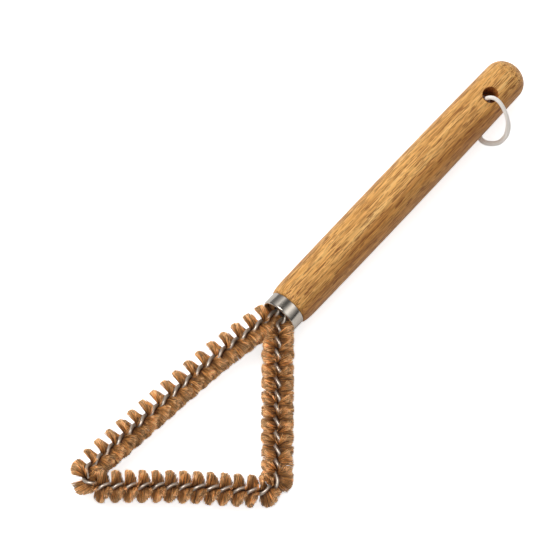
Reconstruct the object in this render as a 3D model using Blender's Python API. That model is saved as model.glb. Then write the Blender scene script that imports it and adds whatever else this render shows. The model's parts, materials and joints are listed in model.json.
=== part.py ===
"""Gap cleaning brush with a wooden handle, laid down on a table.

A twisted wire brush is bent to a closed triangle, and its two stems are set side by
side in the bore of a turned handle, behind a steel ferrule. A cord loop runs through
a cross hole near the handle's far end.

Everything is modelled in the brush's own frame: the origin is the middle of the
ferrule's front rim, +Y runs along the handle to its far end, and the triangle lies
in the XY plane, blunt corner at +X. One parent empty then lays the brush on the
table, where the handle's shoulder, the head and the cord under the handle touch.
Lengths are in metres and angles in degrees.
"""

import math
import random

import bmesh
import bpy
import numpy as np
from mathutils import Matrix, Vector

# Clearance between pieces that seat on each other
SEAT_GAP = 0.0003

# Turned handle: a shoulder, a long shallow belly and a domed end
HANDLE_LENGTH = 0.1700
SHOULDER_RADIUS = 0.00995
SHOULDER_ROUND = 0.0080
NECK_RADIUS = 0.01108
BELLY_RADIUS = 0.01125
BELLY_FROM_SHOULDER = 0.0620
END_RADIUS = 0.01040
DOME_DEPTH = 0.0092
HANDLE_SIDES = 36

# Cross hole for the cord, tilted from the upright round the handle's axis
HOLE_DIAMETER = 0.0078
HOLE_FROM_TIP = 0.0225
HOLE_TILT = 17.0
HOLE_EDGE_EASE = 0.0005
HOLE_SIDES = 24

# Ferrule: a thin steel band, its front rim rolled inwards
FERRULE_RADIUS = 0.0098
FERRULE_LENGTH = 0.0070
FERRULE_WALL = 0.0005
FERRULE_ROLL = 0.0009
FERRULE_SIDES = 36

# The wood stops short of the rim, and its bore takes both stems and the resin
WOOD_RECESS = 0.0028
SOCKET_RADIUS = 0.0058
SOCKET_DEPTH = 0.0280
SOCKET_SIDES = 24

# Twisted stem: two wires round the nipped slice of bristle
WIRE_DIAMETER = 0.0018
NIP_GAP = 0.0007
STEM_SPACING = 0.0052
TAIL_LENGTH = 0.0210

# Triangle of the head, given by its sharp corners
ACUTE_CORNER_X = -0.0183
ACUTE_CORNER_Y = -0.1352
BLUNT_CORNER_X = 0.0608
BLUNT_CORNER_Y = -0.0715
ACUTE_BEND = 0.0059
BLUNT_BEND = 0.0083
LEFT_EXIT_Y = -0.0005
LEFT_EXIT_BEND = 0.0200
RIGHT_EXIT_Y = -0.0035
RIGHT_EXIT_BEND = 0.0050

# The long row bows out from the triangle near its start, the base row bows in
LEFT_BOW = 0.0027
LEFT_BOW_FROM_EXIT = 0.0325
LEFT_BOW_BEND = 0.4000
BASE_BOW = 0.0018
BASE_BOW_FROM_CORNER = 0.0535
BASE_BOW_BEND = 0.3400

# Length along the stem of one full turn of the twist, which is left-handed. The twist
# is counted from the left exit, and each corner's bend opened it by a few degrees.
LEFT_PITCH = 0.01506
BASE_PITCH = 0.01315
RIGHT_PITCH = 0.01459
TWIST_START = 163.5
ACUTE_SLIP = 20.0
BLUNT_SLIP = 48.0
POINTS_PER_TURN = 8

# Bristles: strands cut to one round section, fused to the slice in the nip
BRISTLE_RADIUS = 0.00815
BRISTLE_START = 0.0020
SLICE_WIDTH = 0.0016
SLICE_THICKNESS = 0.0003
STRAND_PITCH = 0.00132
STRAND_ROOT_WIDTH = 0.0010
STRAND_WIDTH = 0.0012
STRAND_THICKNESS = 0.0009
STRAND_CLEARANCE = 0.0008
SHORTEST_STRAND = 0.0026
STRAND_LEAN = 3.0
STRAND_SEED = 11

# Cord loop, knotted inside the cross hole
CORD_DIAMETER = 0.0022
CORD_BEND = 0.0044
CORD_STEP = 0.0020
KNOT_RADIUS = 0.0030
KNOT_WRAPS = 3
KNOT_FOOT = -0.0068

# Cord's route from the middle of the cross hole: across the handle, along it, up
CORD_OVER_HANDLE = (
    (0.0012, -0.0007, 0.0038),
    (0.0020, -0.0017, 0.0067),
    (0.0029, -0.0023, 0.0094),
    (0.0044, -0.0020, 0.0117),
    (0.0068, -0.0013, 0.0128),
    (0.0098, -0.0011, 0.0122),
    (0.0131, -0.0017, 0.0099),
    (0.0159, -0.0027, 0.0064),
    (0.0179, -0.0040, 0.0016),
    (0.0186, -0.0060, -0.0042),
    (0.0179, -0.0078, -0.0080),
    (0.0167, -0.0096, -0.0105),
)
# The same, where the cord lies on the table, as far as the bend into the hole
CORD_ON_TABLE = (
    (0.0144, -0.0117),
    (0.0117, -0.0134),
    (0.0089, -0.0137),
    (0.0066, -0.0124),
    (0.0051, -0.0101),
    (0.0042, -0.0078),
    (0.0031, -0.0055),
)
CORD_ENTRY_HEADING = -32.0
CORD_CROSSING = (0.0000, -0.0030)

SHOULDER_Y = FERRULE_LENGTH + SEAT_GAP
TIP_Y = SHOULDER_Y + HANDLE_LENGTH
DOME_Y = TIP_Y - DOME_DEPTH
SPIGOT_RADIUS = FERRULE_RADIUS - FERRULE_WALL - SEAT_GAP
SOCKET_END_Y = WOOD_RECESS + SOCKET_DEPTH
TAIL_END_Y = WOOD_RECESS + TAIL_LENGTH
STRAND_OFFSET = (WIRE_DIAMETER + NIP_GAP) / 2
STEM_RADIUS = STRAND_OFFSET + WIRE_DIAMETER / 2
ACUTE_CORNER = (ACUTE_CORNER_X, ACUTE_CORNER_Y)
BLUNT_CORNER = (BLUNT_CORNER_X, BLUNT_CORNER_Y)
CORD_RADIUS = CORD_DIAMETER / 2
WRAP_HEIGHT = CORD_DIAMETER * 0.83
UP = Vector((0, 0, 1))


def clear_scene():
    """Remove everything that the scene starts with."""
    for obj in list(bpy.data.objects):
        bpy.data.objects.remove(obj, do_unlink=True)


def make_material(name, colour, roughness, metallic=0.0):
    """One Principled material."""
    material = bpy.data.materials.new(name)
    material.use_nodes = True
    shader = material.node_tree.nodes["Principled BSDF"]
    shader.inputs["Base Color"].default_value = (*colour, 1.0)
    shader.inputs["Roughness"].default_value = roughness
    shader.inputs["Metallic"].default_value = metallic
    material.diffuse_color = (*colour, 1.0)
    return material


def add_object(name, data, material, parent):
    """Link one sub-part under its parent empty."""
    data.materials.append(material)
    obj = bpy.data.objects.new(name, data)
    bpy.context.scene.collection.objects.link(obj)
    obj.parent = parent
    return obj


def add_empty(name, parent=None):
    """A parent that places what hangs on it."""
    empty = bpy.data.objects.new(name, None)
    empty.empty_display_size = 0.02
    bpy.context.scene.collection.objects.link(empty)
    empty.parent = parent
    return empty


def mesh_from(bm, name, smooth_angle=40.0):
    """Close a bmesh into a mesh with outward normals and smooth round sides."""
    bmesh.ops.recalc_face_normals(bm, faces=bm.faces)
    mesh = bpy.data.meshes.new(name)
    bm.to_mesh(mesh)
    bm.free()
    mesh.shade_smooth()
    mesh.set_sharp_from_angle(angle=math.radians(smooth_angle))
    return mesh


def turned_mesh(name, profile, sides, closed, axis=(0, 1, 0)):
    """Turn a profile of (station, radius) pairs round the Y or the Z axis."""
    bm = bmesh.new()
    if axis[1]:
        points = [bm.verts.new((radius, station, 0)) for station, radius in profile]
    else:
        points = [bm.verts.new((radius, 0, station)) for station, radius in profile]
    edges = [bm.edges.new(pair) for pair in zip(points, points[1:])]
    if closed:
        edges.append(bm.edges.new((points[-1], points[0])))
    bmesh.ops.spin(
        bm,
        geom=points + edges,
        cent=(0, 0, 0),
        axis=axis,
        angle=math.tau,
        steps=sides,
        use_merge=True,
    )
    bmesh.ops.remove_doubles(bm, verts=bm.verts, dist=1e-6)
    return mesh_from(bm, name)


def arc(centre, radii, start, end, steps):
    """Points of an elliptic arc in the (station, radius) plane."""
    turns = [math.radians(start + (end - start) * i / steps) for i in range(steps + 1)]
    return [
        (centre[0] + radii[0] * math.cos(t), centre[1] + radii[1] * math.sin(t))
        for t in turns
    ]


def handle_radius(station):
    """Radius of the long part of the handle, between its shoulder and its dome."""
    from_shoulder = station - SHOULDER_Y
    if from_shoulder < SHOULDER_ROUND:
        left = 1 - from_shoulder / SHOULDER_ROUND
        rise = math.sqrt(max(0.0, 1 - left * left))
        return SHOULDER_RADIUS + (NECK_RADIUS - SHOULDER_RADIUS) * rise
    from_belly = from_shoulder - BELLY_FROM_SHOULDER
    if from_belly < 0:
        share = from_belly / (BELLY_FROM_SHOULDER - SHOULDER_ROUND)
        return BELLY_RADIUS - (BELLY_RADIUS - NECK_RADIUS) * share * share
    share = from_belly / (DOME_Y - SHOULDER_Y - BELLY_FROM_SHOULDER)
    return BELLY_RADIUS - (BELLY_RADIUS - END_RADIUS) * share * share


def handle_profile():
    """Blind bore, spigot for the ferrule, rounded shoulder, belly and dome."""
    profile = [
        (SOCKET_END_Y, 0.0),
        (SOCKET_END_Y, SOCKET_RADIUS),
        (WOOD_RECESS, SOCKET_RADIUS),
        (WOOD_RECESS, SPIGOT_RADIUS),
        (SHOULDER_Y, SPIGOT_RADIUS),
    ]
    rounding = [0.0, 0.06, 0.2, 0.45, 0.8]
    profile += [
        (SHOULDER_Y + share * SHOULDER_ROUND, handle_radius(SHOULDER_Y + share * SHOULDER_ROUND))
        for share in rounding
    ]
    first = SHOULDER_Y + SHOULDER_ROUND
    barrel_rings = 9
    for ring in range(barrel_rings):
        station = first + (DOME_Y - first) * ring / barrel_rings
        profile.append((station, handle_radius(station)))
    profile += arc((DOME_Y, 0.0), (DOME_DEPTH, END_RADIUS), 90, 0, 7)
    profile[-1] = (TIP_Y, 0.0)
    return profile


def hole_centre():
    """Where the cross hole meets the handle's axis."""
    return Vector((0, TIP_Y - HOLE_FROM_TIP, 0))


def hole_frame():
    """Placement of the cross hole: X across the handle, Y along it, Z up the hole."""
    return Matrix.Translation(hole_centre()) @ Matrix.Rotation(math.radians(HOLE_TILT), 4, "Y")


def build_handle(parent):
    """The turned handle, with its cross hole cut through."""
    wood = make_material("oiled_wood", (0.62, 0.36, 0.16), 0.5)
    mesh = turned_mesh("handle", handle_profile(), HANDLE_SIDES, closed=False)
    handle = add_object("handle", mesh, wood, parent)
    surface = handle_radius(hole_centre().y)
    bore = HOLE_DIAMETER / 2
    flare_from = surface - 2 * HOLE_EDGE_EASE
    reach = surface + 4 * HOLE_EDGE_EASE
    flare = bore + 2 * HOLE_EDGE_EASE
    outline = [
        (-reach, 0.0),
        (-reach, flare),
        (-flare_from, bore),
        (flare_from, bore),
        (reach, flare),
        (reach, 0.0),
    ]
    cutter_mesh = turned_mesh("hole_cutter", outline, HOLE_SIDES, closed=False, axis=(0, 0, 1))
    cutter = add_object("hole_cutter", cutter_mesh, wood, parent)
    cutter.matrix_local = hole_frame()
    cutter.hide_render = True
    cutter.display_type = "WIRE"
    cut = handle.modifiers.new("cross_hole", "BOOLEAN")
    cut.operation = "DIFFERENCE"
    cut.solver = "EXACT"
    cut.object = cutter
    return handle


def build_ferrule(parent):
    """The steel band: straight wall, front rim rolled inwards."""
    steel = make_material("polished_steel", (0.62, 0.61, 0.59), 0.2, 1.0)
    outer = FERRULE_RADIUS
    inner = FERRULE_RADIUS - FERRULE_WALL
    roll_centre = (FERRULE_ROLL, outer - FERRULE_ROLL)
    inner_roll = FERRULE_ROLL - FERRULE_WALL
    profile = [(FERRULE_LENGTH, inner), (FERRULE_LENGTH, outer)]
    profile += arc(roll_centre, (FERRULE_ROLL, FERRULE_ROLL), 90, 180, 4)
    profile += arc(roll_centre, (inner_roll, inner_roll), 180, 90, 3)
    mesh = turned_mesh("ferrule", profile, FERRULE_SIDES, closed=True)
    return add_object("ferrule", mesh, steel, parent)


def build_resin(parent):
    """Hardened resin that fills the bore round the two stems."""
    resin = make_material("dark_resin", (0.05, 0.03, 0.02), 0.6)
    radius = SOCKET_RADIUS - SEAT_GAP
    start = WOOD_RECESS + SEAT_GAP
    end = SOCKET_END_Y - SEAT_GAP
    profile = [(start, 0.0), (start, radius), (end, radius), (end, 0.0)]
    plug = add_object(
        "socket_resin",
        turned_mesh("socket_resin", profile, SOCKET_SIDES, closed=False),
        resin,
        parent,
    )
    # The pocket is an oval that both stems stand in, a little deeper than their tails
    half_width = STEM_RADIUS + SEAT_GAP
    mouth = start - WIRE_DIAMETER
    bm = bmesh.new()
    rim = []
    for side in (1, -1):
        for step in range(9):
            turn = math.radians(-90 + 180 * step / 8)
            x = side * (STEM_SPACING / 2 + half_width * math.cos(turn))
            z = side * half_width * math.sin(turn)
            rim.append(bm.verts.new((x, mouth, z)))
    pocket_face = bm.faces.new(rim)
    grown = bmesh.ops.extrude_face_region(bm, geom=[pocket_face])
    moved = [item for item in grown["geom"] if isinstance(item, bmesh.types.BMVert)]
    depth = TAIL_END_Y + SEAT_GAP - mouth
    bmesh.ops.translate(bm, verts=moved, vec=(0, depth, 0))
    cutter = add_object("pocket_cutter", mesh_from(bm, "pocket_cutter"), resin, parent)
    cutter.hide_render = True
    cutter.display_type = "WIRE"
    cut = plug.modifiers.new("stem_pocket", "BOOLEAN")
    cut.operation = "DIFFERENCE"
    cut.solver = "EXACT"
    cut.object = cutter
    return plug


def beside(start, end, along, offset):
    """A place beside the straight line between two corners, to its left."""
    way = (Vector(end) - Vector(start)).normalized()
    return tuple(Vector(start) + way * along + Vector((-way.y, way.x)) * offset)


class Centreline:
    """The stem's centre line: straight runs joined by arcs, in the XY plane."""

    def __init__(self, corners, bends):
        self.pieces = []
        self.length = 0.0
        corners = [Vector((x, y, 0)) for x, y in corners]
        start = corners[0]
        for before, corner, after, bend in zip(corners, corners[1:], corners[2:], bends):
            into = (corner - before).normalized()
            away = (after - corner).normalized()
            turn = into.cross(away).z
            angle = into.angle(away)
            setback = bend * math.tan(angle / 2)
            arc_start = corner - into * setback
            self._add(start, into, (arc_start - start).length, 0.0)
            self._add(arc_start, into, bend * angle, math.copysign(1 / bend, turn))
            start = corner + away * setback
        into = (corners[-1] - start).normalized()
        self._add(start, into, (corners[-1] - start).length, 0.0)

    def _add(self, start, direction, length, curvature):
        self.pieces.append((self.length, start, direction, length, curvature))
        self.length += length

    def at(self, along):
        """Position and direction at a length along the stem."""
        piece = self.pieces[0]
        for candidate in self.pieces:
            if candidate[0] <= along:
                piece = candidate
        begin, start, direction, _, curvature = piece
        travelled = along - begin
        if not curvature:
            return start + direction * travelled, direction.copy()
        turned = Matrix.Rotation(curvature * travelled, 3, "Z") @ direction
        normal = UP.cross(direction)
        sweep = math.sin(curvature * travelled) / curvature
        drop = (1 - math.cos(curvature * travelled)) / curvature
        return start + direction * sweep + normal * drop, turned

    def bends(self):
        """Where each of its arcs begins, and how long it is."""
        return [(piece[0], piece[3]) for piece in self.pieces if piece[4]]


def share_passed(bend, along):
    """How much of a bend lies behind a place on the stem, from 0 to 1."""
    begin, length = bend
    return min(1.0, max(0.0, (along - begin) / length))


class Stem:
    """Centre line, twist and the row limits of the wire brush."""

    def __init__(self):
        half = STEM_SPACING / 2
        left_exit = (-half, LEFT_EXIT_Y)
        self.right_exit = (half, RIGHT_EXIT_Y)
        self.left_bow = beside(left_exit, ACUTE_CORNER, LEFT_BOW_FROM_EXIT, -LEFT_BOW)
        self.base_bow = beside(ACUTE_CORNER, BLUNT_CORNER, BASE_BOW_FROM_CORNER, BASE_BOW)
        self.line = Centreline(
            [
                (-half, TAIL_END_Y),
                left_exit,
                self.left_bow,
                ACUTE_CORNER,
                self.base_bow,
                BLUNT_CORNER,
                self.right_exit,
                (half, TAIL_END_Y),
            ],
            [
                LEFT_EXIT_BEND,
                LEFT_BOW_BEND,
                ACUTE_BEND,
                BASE_BOW_BEND,
                BLUNT_BEND,
                RIGHT_EXIT_BEND,
            ],
        )
        _, _, self.acute_bend, _, self.blunt_bend, _ = self.line.bends()
        self.acute = self.acute_bend[0] + self.acute_bend[1] / 2
        self.blunt = self.blunt_bend[0] + self.blunt_bend[1] / 2
        self.first = self._passes_ferrule(0.0, 1)
        self.last = self._passes_ferrule(self.line.length, -1)

    def _passes_ferrule(self, along, step):
        """Where bristles may start: BRISTLE_START in front of the ferrule."""
        while self.line.at(along)[0].y > -BRISTLE_START:
            along += step * SEAT_GAP / 4
        return along

    def twist(self, along):
        """Angle of the nip round the centre line, in radians."""
        exit_at = TAIL_END_Y - LEFT_EXIT_Y
        turns = (min(along, self.acute) - exit_at) / LEFT_PITCH
        turns += max(0.0, min(along, self.blunt) - self.acute) / BASE_PITCH
        turns += max(0.0, along - self.blunt) / RIGHT_PITCH
        slip = ACUTE_SLIP * share_passed(self.acute_bend, along)
        slip += BLUNT_SLIP * share_passed(self.blunt_bend, along)
        return math.radians(TWIST_START + slip) - math.tau * turns

    def frame(self, along):
        """Centre, direction, way to wire a and way of the bristles."""
        centre, direction = self.line.at(along)
        side = UP.cross(direction)
        turn = self.twist(along)
        to_wire = side * math.cos(turn) + UP * math.sin(turn)
        to_bristle = direction.cross(to_wire)
        return centre, direction, to_wire, to_bristle


def build_wire(name, side, stem, material, parent):
    """One of the two wires, a tube along its half of the double helix."""
    stations = []
    along = 0.0
    while along < stem.line.length:
        stations.append(along)
        pitch = LEFT_PITCH
        if along > stem.acute:
            pitch = BASE_PITCH
        if along > stem.blunt:
            pitch = RIGHT_PITCH
        along += pitch / POINTS_PER_TURN
    if stem.line.length - stations[-1] < WIRE_DIAMETER / 2:
        stations.pop()
    stations.append(stem.line.length)
    points = []
    for along in stations:
        centre, _, to_wire, _ = stem.frame(along)
        points.append(centre + to_wire * side * STRAND_OFFSET)
    curve = tube_curve(name, points, WIRE_DIAMETER / 2, sides_setting=1)
    return add_object(name, curve, material, parent)


def tube_curve(name, points, radius, sides_setting):
    """A round tube with closed ends along a row of points."""
    curve = bpy.data.curves.new(name, "CURVE")
    curve.dimensions = "3D"
    curve.bevel_depth = radius
    curve.bevel_resolution = sides_setting
    curve.use_fill_caps = True
    spline = curve.splines.new("POLY")
    spline.points.add(len(points) - 1)
    for slot, point in zip(spline.points, points):
        slot.co = (*point, 1.0)
    spline.use_smooth = True
    return curve


def bisector(corner, one_way, other_way):
    """Plane between two rows that meet at a corner, facing the first row."""
    towards_one = (Vector(one_way) - Vector(corner)).normalized()
    towards_other = (Vector(other_way) - Vector(corner)).normalized()
    facing = (towards_one - towards_other).normalized()
    return Vector((*corner, 0)), Vector((*facing, 0))


def row_meeting_point(stem):
    """Where the lines of the left and right rows cross, inside the ferrule."""
    left_way = Vector(ACUTE_CORNER) - Vector(stem.left_bow)
    right_way = Vector(BLUNT_CORNER) - Vector(stem.right_exit)
    gap = Vector(stem.right_exit) - Vector(stem.left_bow)
    cross = left_way.x * right_way.y - left_way.y * right_way.x
    share = (gap.x * right_way.y - gap.y * right_way.x) / cross
    return tuple(Vector(stem.left_bow) + left_way * share)


def strand_length(centre, way, full, planes):
    """Length a strand can have before it meets the next row or the ferrule."""
    length = full
    for point, facing in planes:
        start = (centre - point).dot(facing) - STRAND_CLEARANCE
        closing = -way.dot(facing)
        if closing * length > start:
            length = max(0.0, start / closing)
    return length


def build_bristles(name, begin, end, stem, planes, material, parent):
    """One row: the slice in the nip, with its strands drawn out of both edges."""
    chance = random.Random(STRAND_SEED)
    count = round((end - begin) / STRAND_PITCH)
    step = (end - begin) / count
    middles = [begin + (number + 0.5) * step for number in range(count)]
    stations = [begin]
    for middle in middles:
        stations += [middle - STRAND_ROOT_WIDTH / 2, middle + STRAND_ROOT_WIDTH / 2]
    stations.append(end)
    bm = bmesh.new()
    rings = []
    for station in stations:
        centre, _, to_wire, to_bristle = stem.frame(station)
        reach = to_bristle * SLICE_WIDTH / 2
        thick = to_wire * SLICE_THICKNESS / 2
        corners = (-reach - thick, reach - thick, reach + thick, -reach + thick)
        rings.append([bm.verts.new(centre + corner) for corner in corners])
    bm.faces.new(rings[0])
    bm.faces.new(rings[-1])
    roots = []
    for number, (ring, after) in enumerate(zip(rings, rings[1:])):
        # Both broad sides fold along the same diagonal, so the slice keeps its thickness
        for low, high in ((0, 1), (3, 2)):
            bm.faces.new((ring[low], ring[high], after[high]))
            bm.faces.new((ring[low], after[high], after[low]))
        for one, two, side in ((1, 2, 1), (3, 0, -1)):
            face = bm.faces.new((ring[one], ring[two], after[two], after[one]))
            if number % 2:
                roots.append((face, middles[number // 2], side))
    kept = []
    for face, middle, side in roots:
        centre, direction, to_wire, to_bristle = stem.frame(middle)
        lean = math.radians(chance.uniform(-STRAND_LEAN, STRAND_LEAN))
        way = to_bristle * side * math.cos(lean) + direction * math.sin(lean)
        full = BRISTLE_RADIUS * chance.uniform(0.965, 1.0)
        length = strand_length(centre, way, full, planes)
        if length >= SHORTEST_STRAND:
            kept.append((face, centre + way * length, direction, to_wire * side))
    drawn = bmesh.ops.extrude_discrete_faces(bm, faces=[item[0] for item in kept])
    for face, (_, tip, direction, across) in zip(drawn["faces"], kept):
        half_width = direction * STRAND_WIDTH / 2
        half_thick = across * STRAND_THICKNESS / 2
        places = (
            tip - half_width - half_thick,
            tip - half_width + half_thick,
            tip + half_width + half_thick,
            tip + half_width - half_thick,
        )
        for vert, place in zip(face.verts, places):
            vert.co = place
    print(f"{name}: {len(kept)} strands")
    mesh = mesh_from(bm, name, smooth_angle=30.0)
    return add_object(name, mesh, material, parent), len(kept)


def build_head(parent):
    """The two wires and the three rows of bristle."""
    stem = Stem()
    steel = make_material("wire_steel", (0.6, 0.58, 0.55), 0.25, 1.0)
    bristle = make_material("tan_bristle", (0.38, 0.2, 0.1), 0.75)
    build_wire("wire_strand_a", 1, stem, steel, parent)
    build_wire("wire_strand_b", -1, stem, steel, parent)
    top = row_meeting_point(stem)
    at_acute = bisector(ACUTE_CORNER, stem.left_bow, stem.base_bow)
    at_blunt = bisector(BLUNT_CORNER, stem.base_bow, stem.right_exit)
    at_top = bisector(top, ACUTE_CORNER, BLUNT_CORNER)
    ferrule_front = (Vector((0, 0, 0)), Vector((0, -1, 0)))

    def other_side(plane):
        return plane[0], -plane[1]

    gap = SEAT_GAP / 2
    rows = [
        ("bristles_left", stem.first, stem.acute - gap, [at_acute, at_top, ferrule_front]),
        ("bristles_base", stem.acute + gap, stem.blunt - gap, [other_side(at_acute), at_blunt]),
        (
            "bristles_right",
            stem.blunt + gap,
            stem.last,
            [other_side(at_blunt), other_side(at_top), ferrule_front],
        ),
    ]
    built = []
    total = 0
    for name, begin, end, planes in rows:
        row, strands = build_bristles(name, begin, end, stem, planes, bristle, parent)
        built.append(row)
        total += strands
    print(f"{total} strands in all, {stem.line.length * 1000:.1f} mm of stem")
    return built


def smooth_route(points, step):
    """Points a fixed step apart on a smooth curve through the route."""
    points = [Vector(point) for point in points]
    ends = [2 * points[0] - points[1], *points, 2 * points[-1] - points[-2]]
    fine = []
    for a, b, c, d in zip(ends, ends[1:], ends[2:], ends[3:]):
        for part in range(20):
            t = part / 20
            fine.append(
                0.5
                * (
                    2 * b
                    + (c - a) * t
                    + (2 * a - 5 * b + 4 * c - d) * t * t
                    + (3 * b - a - 3 * c + d) * t * t * t
                )
            )
    fine.append(points[-1])
    run = [0.0]
    for one, two in zip(fine, fine[1:]):
        run.append(run[-1] + (two - one).length)
    count = round(run[-1] / step)
    stations = np.linspace(0.0, run[-1], count + 1)
    axes = [np.interp(stations, run, [point[axis] for point in fine]) for axis in range(3)]
    return [Vector(place) for place in zip(*axes)], run[-1]


def knot_height():
    """Height of the knot: its wraps lie close against each other."""
    return KNOT_WRAPS * WRAP_HEIGHT


def cord_route(table):
    """The cord's centre from the knot's top round to its foot, in the brush's frame."""
    to_brush = hole_frame()
    knot_top = KNOT_FOOT + knot_height() + SEAT_GAP
    route = [to_brush @ Vector((0, 0, knot_top + rise)) for rise in (0.0, CORD_RADIUS * 1.6)]
    route += [hole_centre() + Vector(point) for point in CORD_OVER_HANDLE]
    for x, y in CORD_ON_TABLE:
        point = hole_centre() + Vector((x, y, 0))
        point.z = table.height(point.x, point.y) + CORD_RADIUS
        route.append(point)
    # A round bend leads from the table up to the foot of the knot
    heading = math.radians(CORD_ENTRY_HEADING)
    out = Vector((math.cos(heading), math.sin(heading), 0))
    foot = Vector((0, 0, KNOT_FOOT - SEAT_GAP))
    for degrees in (105, 85, 65, 45, 25, 8):
        turn = math.radians(degrees)
        across = CORD_BEND * (1 - math.cos(turn))
        down = CORD_BEND * math.sin(turn)
        route.append(to_brush @ (foot + out * across - UP * down))
    route.append(to_brush @ foot)
    return route


def build_cord(pivot, table):
    """The cord loop and the barrel knot that joins its ends inside the hole."""
    cotton = make_material("white_cord", (0.8, 0.76, 0.7), 0.85)
    points, length = smooth_route(cord_route(table), CORD_STEP)
    print(f"cord loop: {length * 1000:.1f} mm")
    for point in points:
        point.z = max(point.z, table.height(point.x, point.y) + CORD_RADIUS)
    to_pivot = hole_frame().inverted()
    curve = tube_curve("hanging_cord", [to_pivot @ point for point in points], CORD_RADIUS, 2)
    add_object("hanging_cord", curve, cotton, pivot)
    bulge_depth = WRAP_HEIGHT * 0.42
    waist = KNOT_RADIUS - bulge_depth
    profile = [(KNOT_FOOT, 0.0)]
    for number in range(KNOT_WRAPS):
        middle = KNOT_FOOT + WRAP_HEIGHT * (number + 0.5)
        bulge = arc((middle, waist), (WRAP_HEIGHT / 2, bulge_depth), 180, 0, 4)
        profile += bulge if number == 0 else bulge[1:]
    profile.append((KNOT_FOOT + knot_height(), 0.0))
    mesh = turned_mesh("cord_knot", profile, 16, closed=False, axis=(0, 0, 1))
    add_object("cord_knot", mesh, cotton, pivot)


def points_of(obj):
    """Corner points of one mesh object, in the brush's own frame."""
    return np.array([vert.co[:] for vert in obj.data.vertices])


class Table:
    """The plane that the brush lies on, in the brush's own frame."""

    def __init__(self, foot, handle, head):
        """Lay the plane under a foot by the far end, the handle and the head.

        The plane tips up along the handle until it meets the handle's shoulder, and
        across it until it meets the head on the side where the head weighs most.
        """
        self.foot = np.array(foot[:])
        self.slopes = np.zeros(2)
        handle = handle[handle[:, 1] < foot.y] - self.foot
        head = head[head[:, 0] > foot.x] - self.foot
        for _ in range(6):
            above = handle[:, 2] - handle[:, 0] * self.slopes[0]
            self.slopes[1] = np.max(above / handle[:, 1])
            above = head[:, 2] - head[:, 1] * self.slopes[1]
            self.slopes[0] = np.min(above / head[:, 0])

    def height(self, x, y):
        """Height of the table under a place."""
        return self.foot[2] + float(self.slopes @ (x - self.foot[0], y - self.foot[1]))

    def turn(self):
        """Rotation that brings the table level and keeps the brush along Y."""
        up = Vector((-self.slopes[0], -self.slopes[1], 1)).normalized()
        along = Vector((0, 1, self.slopes[1])).normalized()
        return Matrix((along.cross(up), along, up))


def table_under(handle, rows):
    """The table, which holds the far end up by the cord's thickness."""
    x, y = CORD_CROSSING
    foot = hole_centre() + Vector((x, y, 0))
    foot.z = -handle_radius(foot.y) - SEAT_GAP - CORD_DIAMETER
    head = np.concatenate([points_of(row) for row in rows])
    return Table(foot, points_of(handle), head)


def lay_on_table(root, rigid, table):
    """Lay the brush down and put the middle of its footprint at the origin."""
    turn = table.turn()
    everything = np.concatenate([points_of(obj) for obj in rigid])
    laid = everything @ np.array(turn).T
    low = laid.min(axis=0)
    high = laid.max(axis=0)
    middle = (low + high) / 2
    shift = Vector((-middle[0], -middle[1], -low[2]))
    root.matrix_world = Matrix.Translation(shift) @ turn.to_4x4()
    roll, lean = (math.degrees(math.atan(slope)) for slope in table.slopes)
    print(f"table under the brush: lean {lean:.2f}, roll {roll:.2f} degrees")
    box = ", ".join(f"{size * 1000:.1f}" for size in high - low)
    print(f"box without the cord: {box} mm")


def build():
    """Build every sub-part and lay the brush on the table."""
    clear_scene()
    root = add_empty("resting_brush")
    pivot = add_empty("loop_pivot", root)
    pivot.matrix_local = hole_frame()
    handle = build_handle(root)
    build_ferrule(root)
    build_resin(root)
    rows = build_head(root)
    table = table_under(handle, rows)
    build_cord(pivot, table)
    lay_on_table(root, [handle, *rows], table)


build()
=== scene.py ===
# %% [markdown]
# # Dressing a gap cleaning brush
#
# A hand brush for narrow gaps lies on a pale table: two steel wires twisted round tan
# fibres and bent to a closed triangle, a turned oak handle with a steel ferrule, and a
# loop of white cotton cord. The bare solids come in as a fixed frame. Each piece below
# takes the place of one solid, or gives it a finish, and nothing is moved or resized.

# %% Load the frame
import json
import math
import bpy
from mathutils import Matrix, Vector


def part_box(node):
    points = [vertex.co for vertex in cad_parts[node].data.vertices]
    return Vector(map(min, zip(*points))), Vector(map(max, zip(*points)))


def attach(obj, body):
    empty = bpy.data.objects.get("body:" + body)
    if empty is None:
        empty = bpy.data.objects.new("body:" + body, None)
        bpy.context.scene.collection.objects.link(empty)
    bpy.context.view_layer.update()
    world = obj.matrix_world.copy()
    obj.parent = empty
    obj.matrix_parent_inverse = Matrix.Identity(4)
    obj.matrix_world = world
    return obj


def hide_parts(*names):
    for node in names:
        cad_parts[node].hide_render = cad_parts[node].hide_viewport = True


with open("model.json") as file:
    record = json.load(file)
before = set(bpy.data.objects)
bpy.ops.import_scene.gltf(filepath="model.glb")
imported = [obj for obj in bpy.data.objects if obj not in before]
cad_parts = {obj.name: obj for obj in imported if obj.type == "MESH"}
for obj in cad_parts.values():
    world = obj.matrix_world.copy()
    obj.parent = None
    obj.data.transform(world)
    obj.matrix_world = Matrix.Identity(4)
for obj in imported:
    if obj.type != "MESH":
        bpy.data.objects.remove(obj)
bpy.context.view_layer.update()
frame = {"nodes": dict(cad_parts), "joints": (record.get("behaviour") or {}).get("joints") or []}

from types import SimpleNamespace

import bmesh
import bpy
import numpy as np
from mathutils import Matrix, Vector

# %% [markdown]
# ## Where the brush lies
#
# Every piece of the brush is designed in the brush's own frame: the origin is the middle
# of the ferrule's front rim, +Y runs along the handle, and the triangle lies in the XY
# plane. On the table the brush leans by a degree or so, because the cord lies under its
# far end. The placement could be typed as angles, but it is safer to read it from the
# frame: the loop's hinge gives the middle and the direction of the cross hole, and the
# ferrule gives a second point of the handle's axis.

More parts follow.
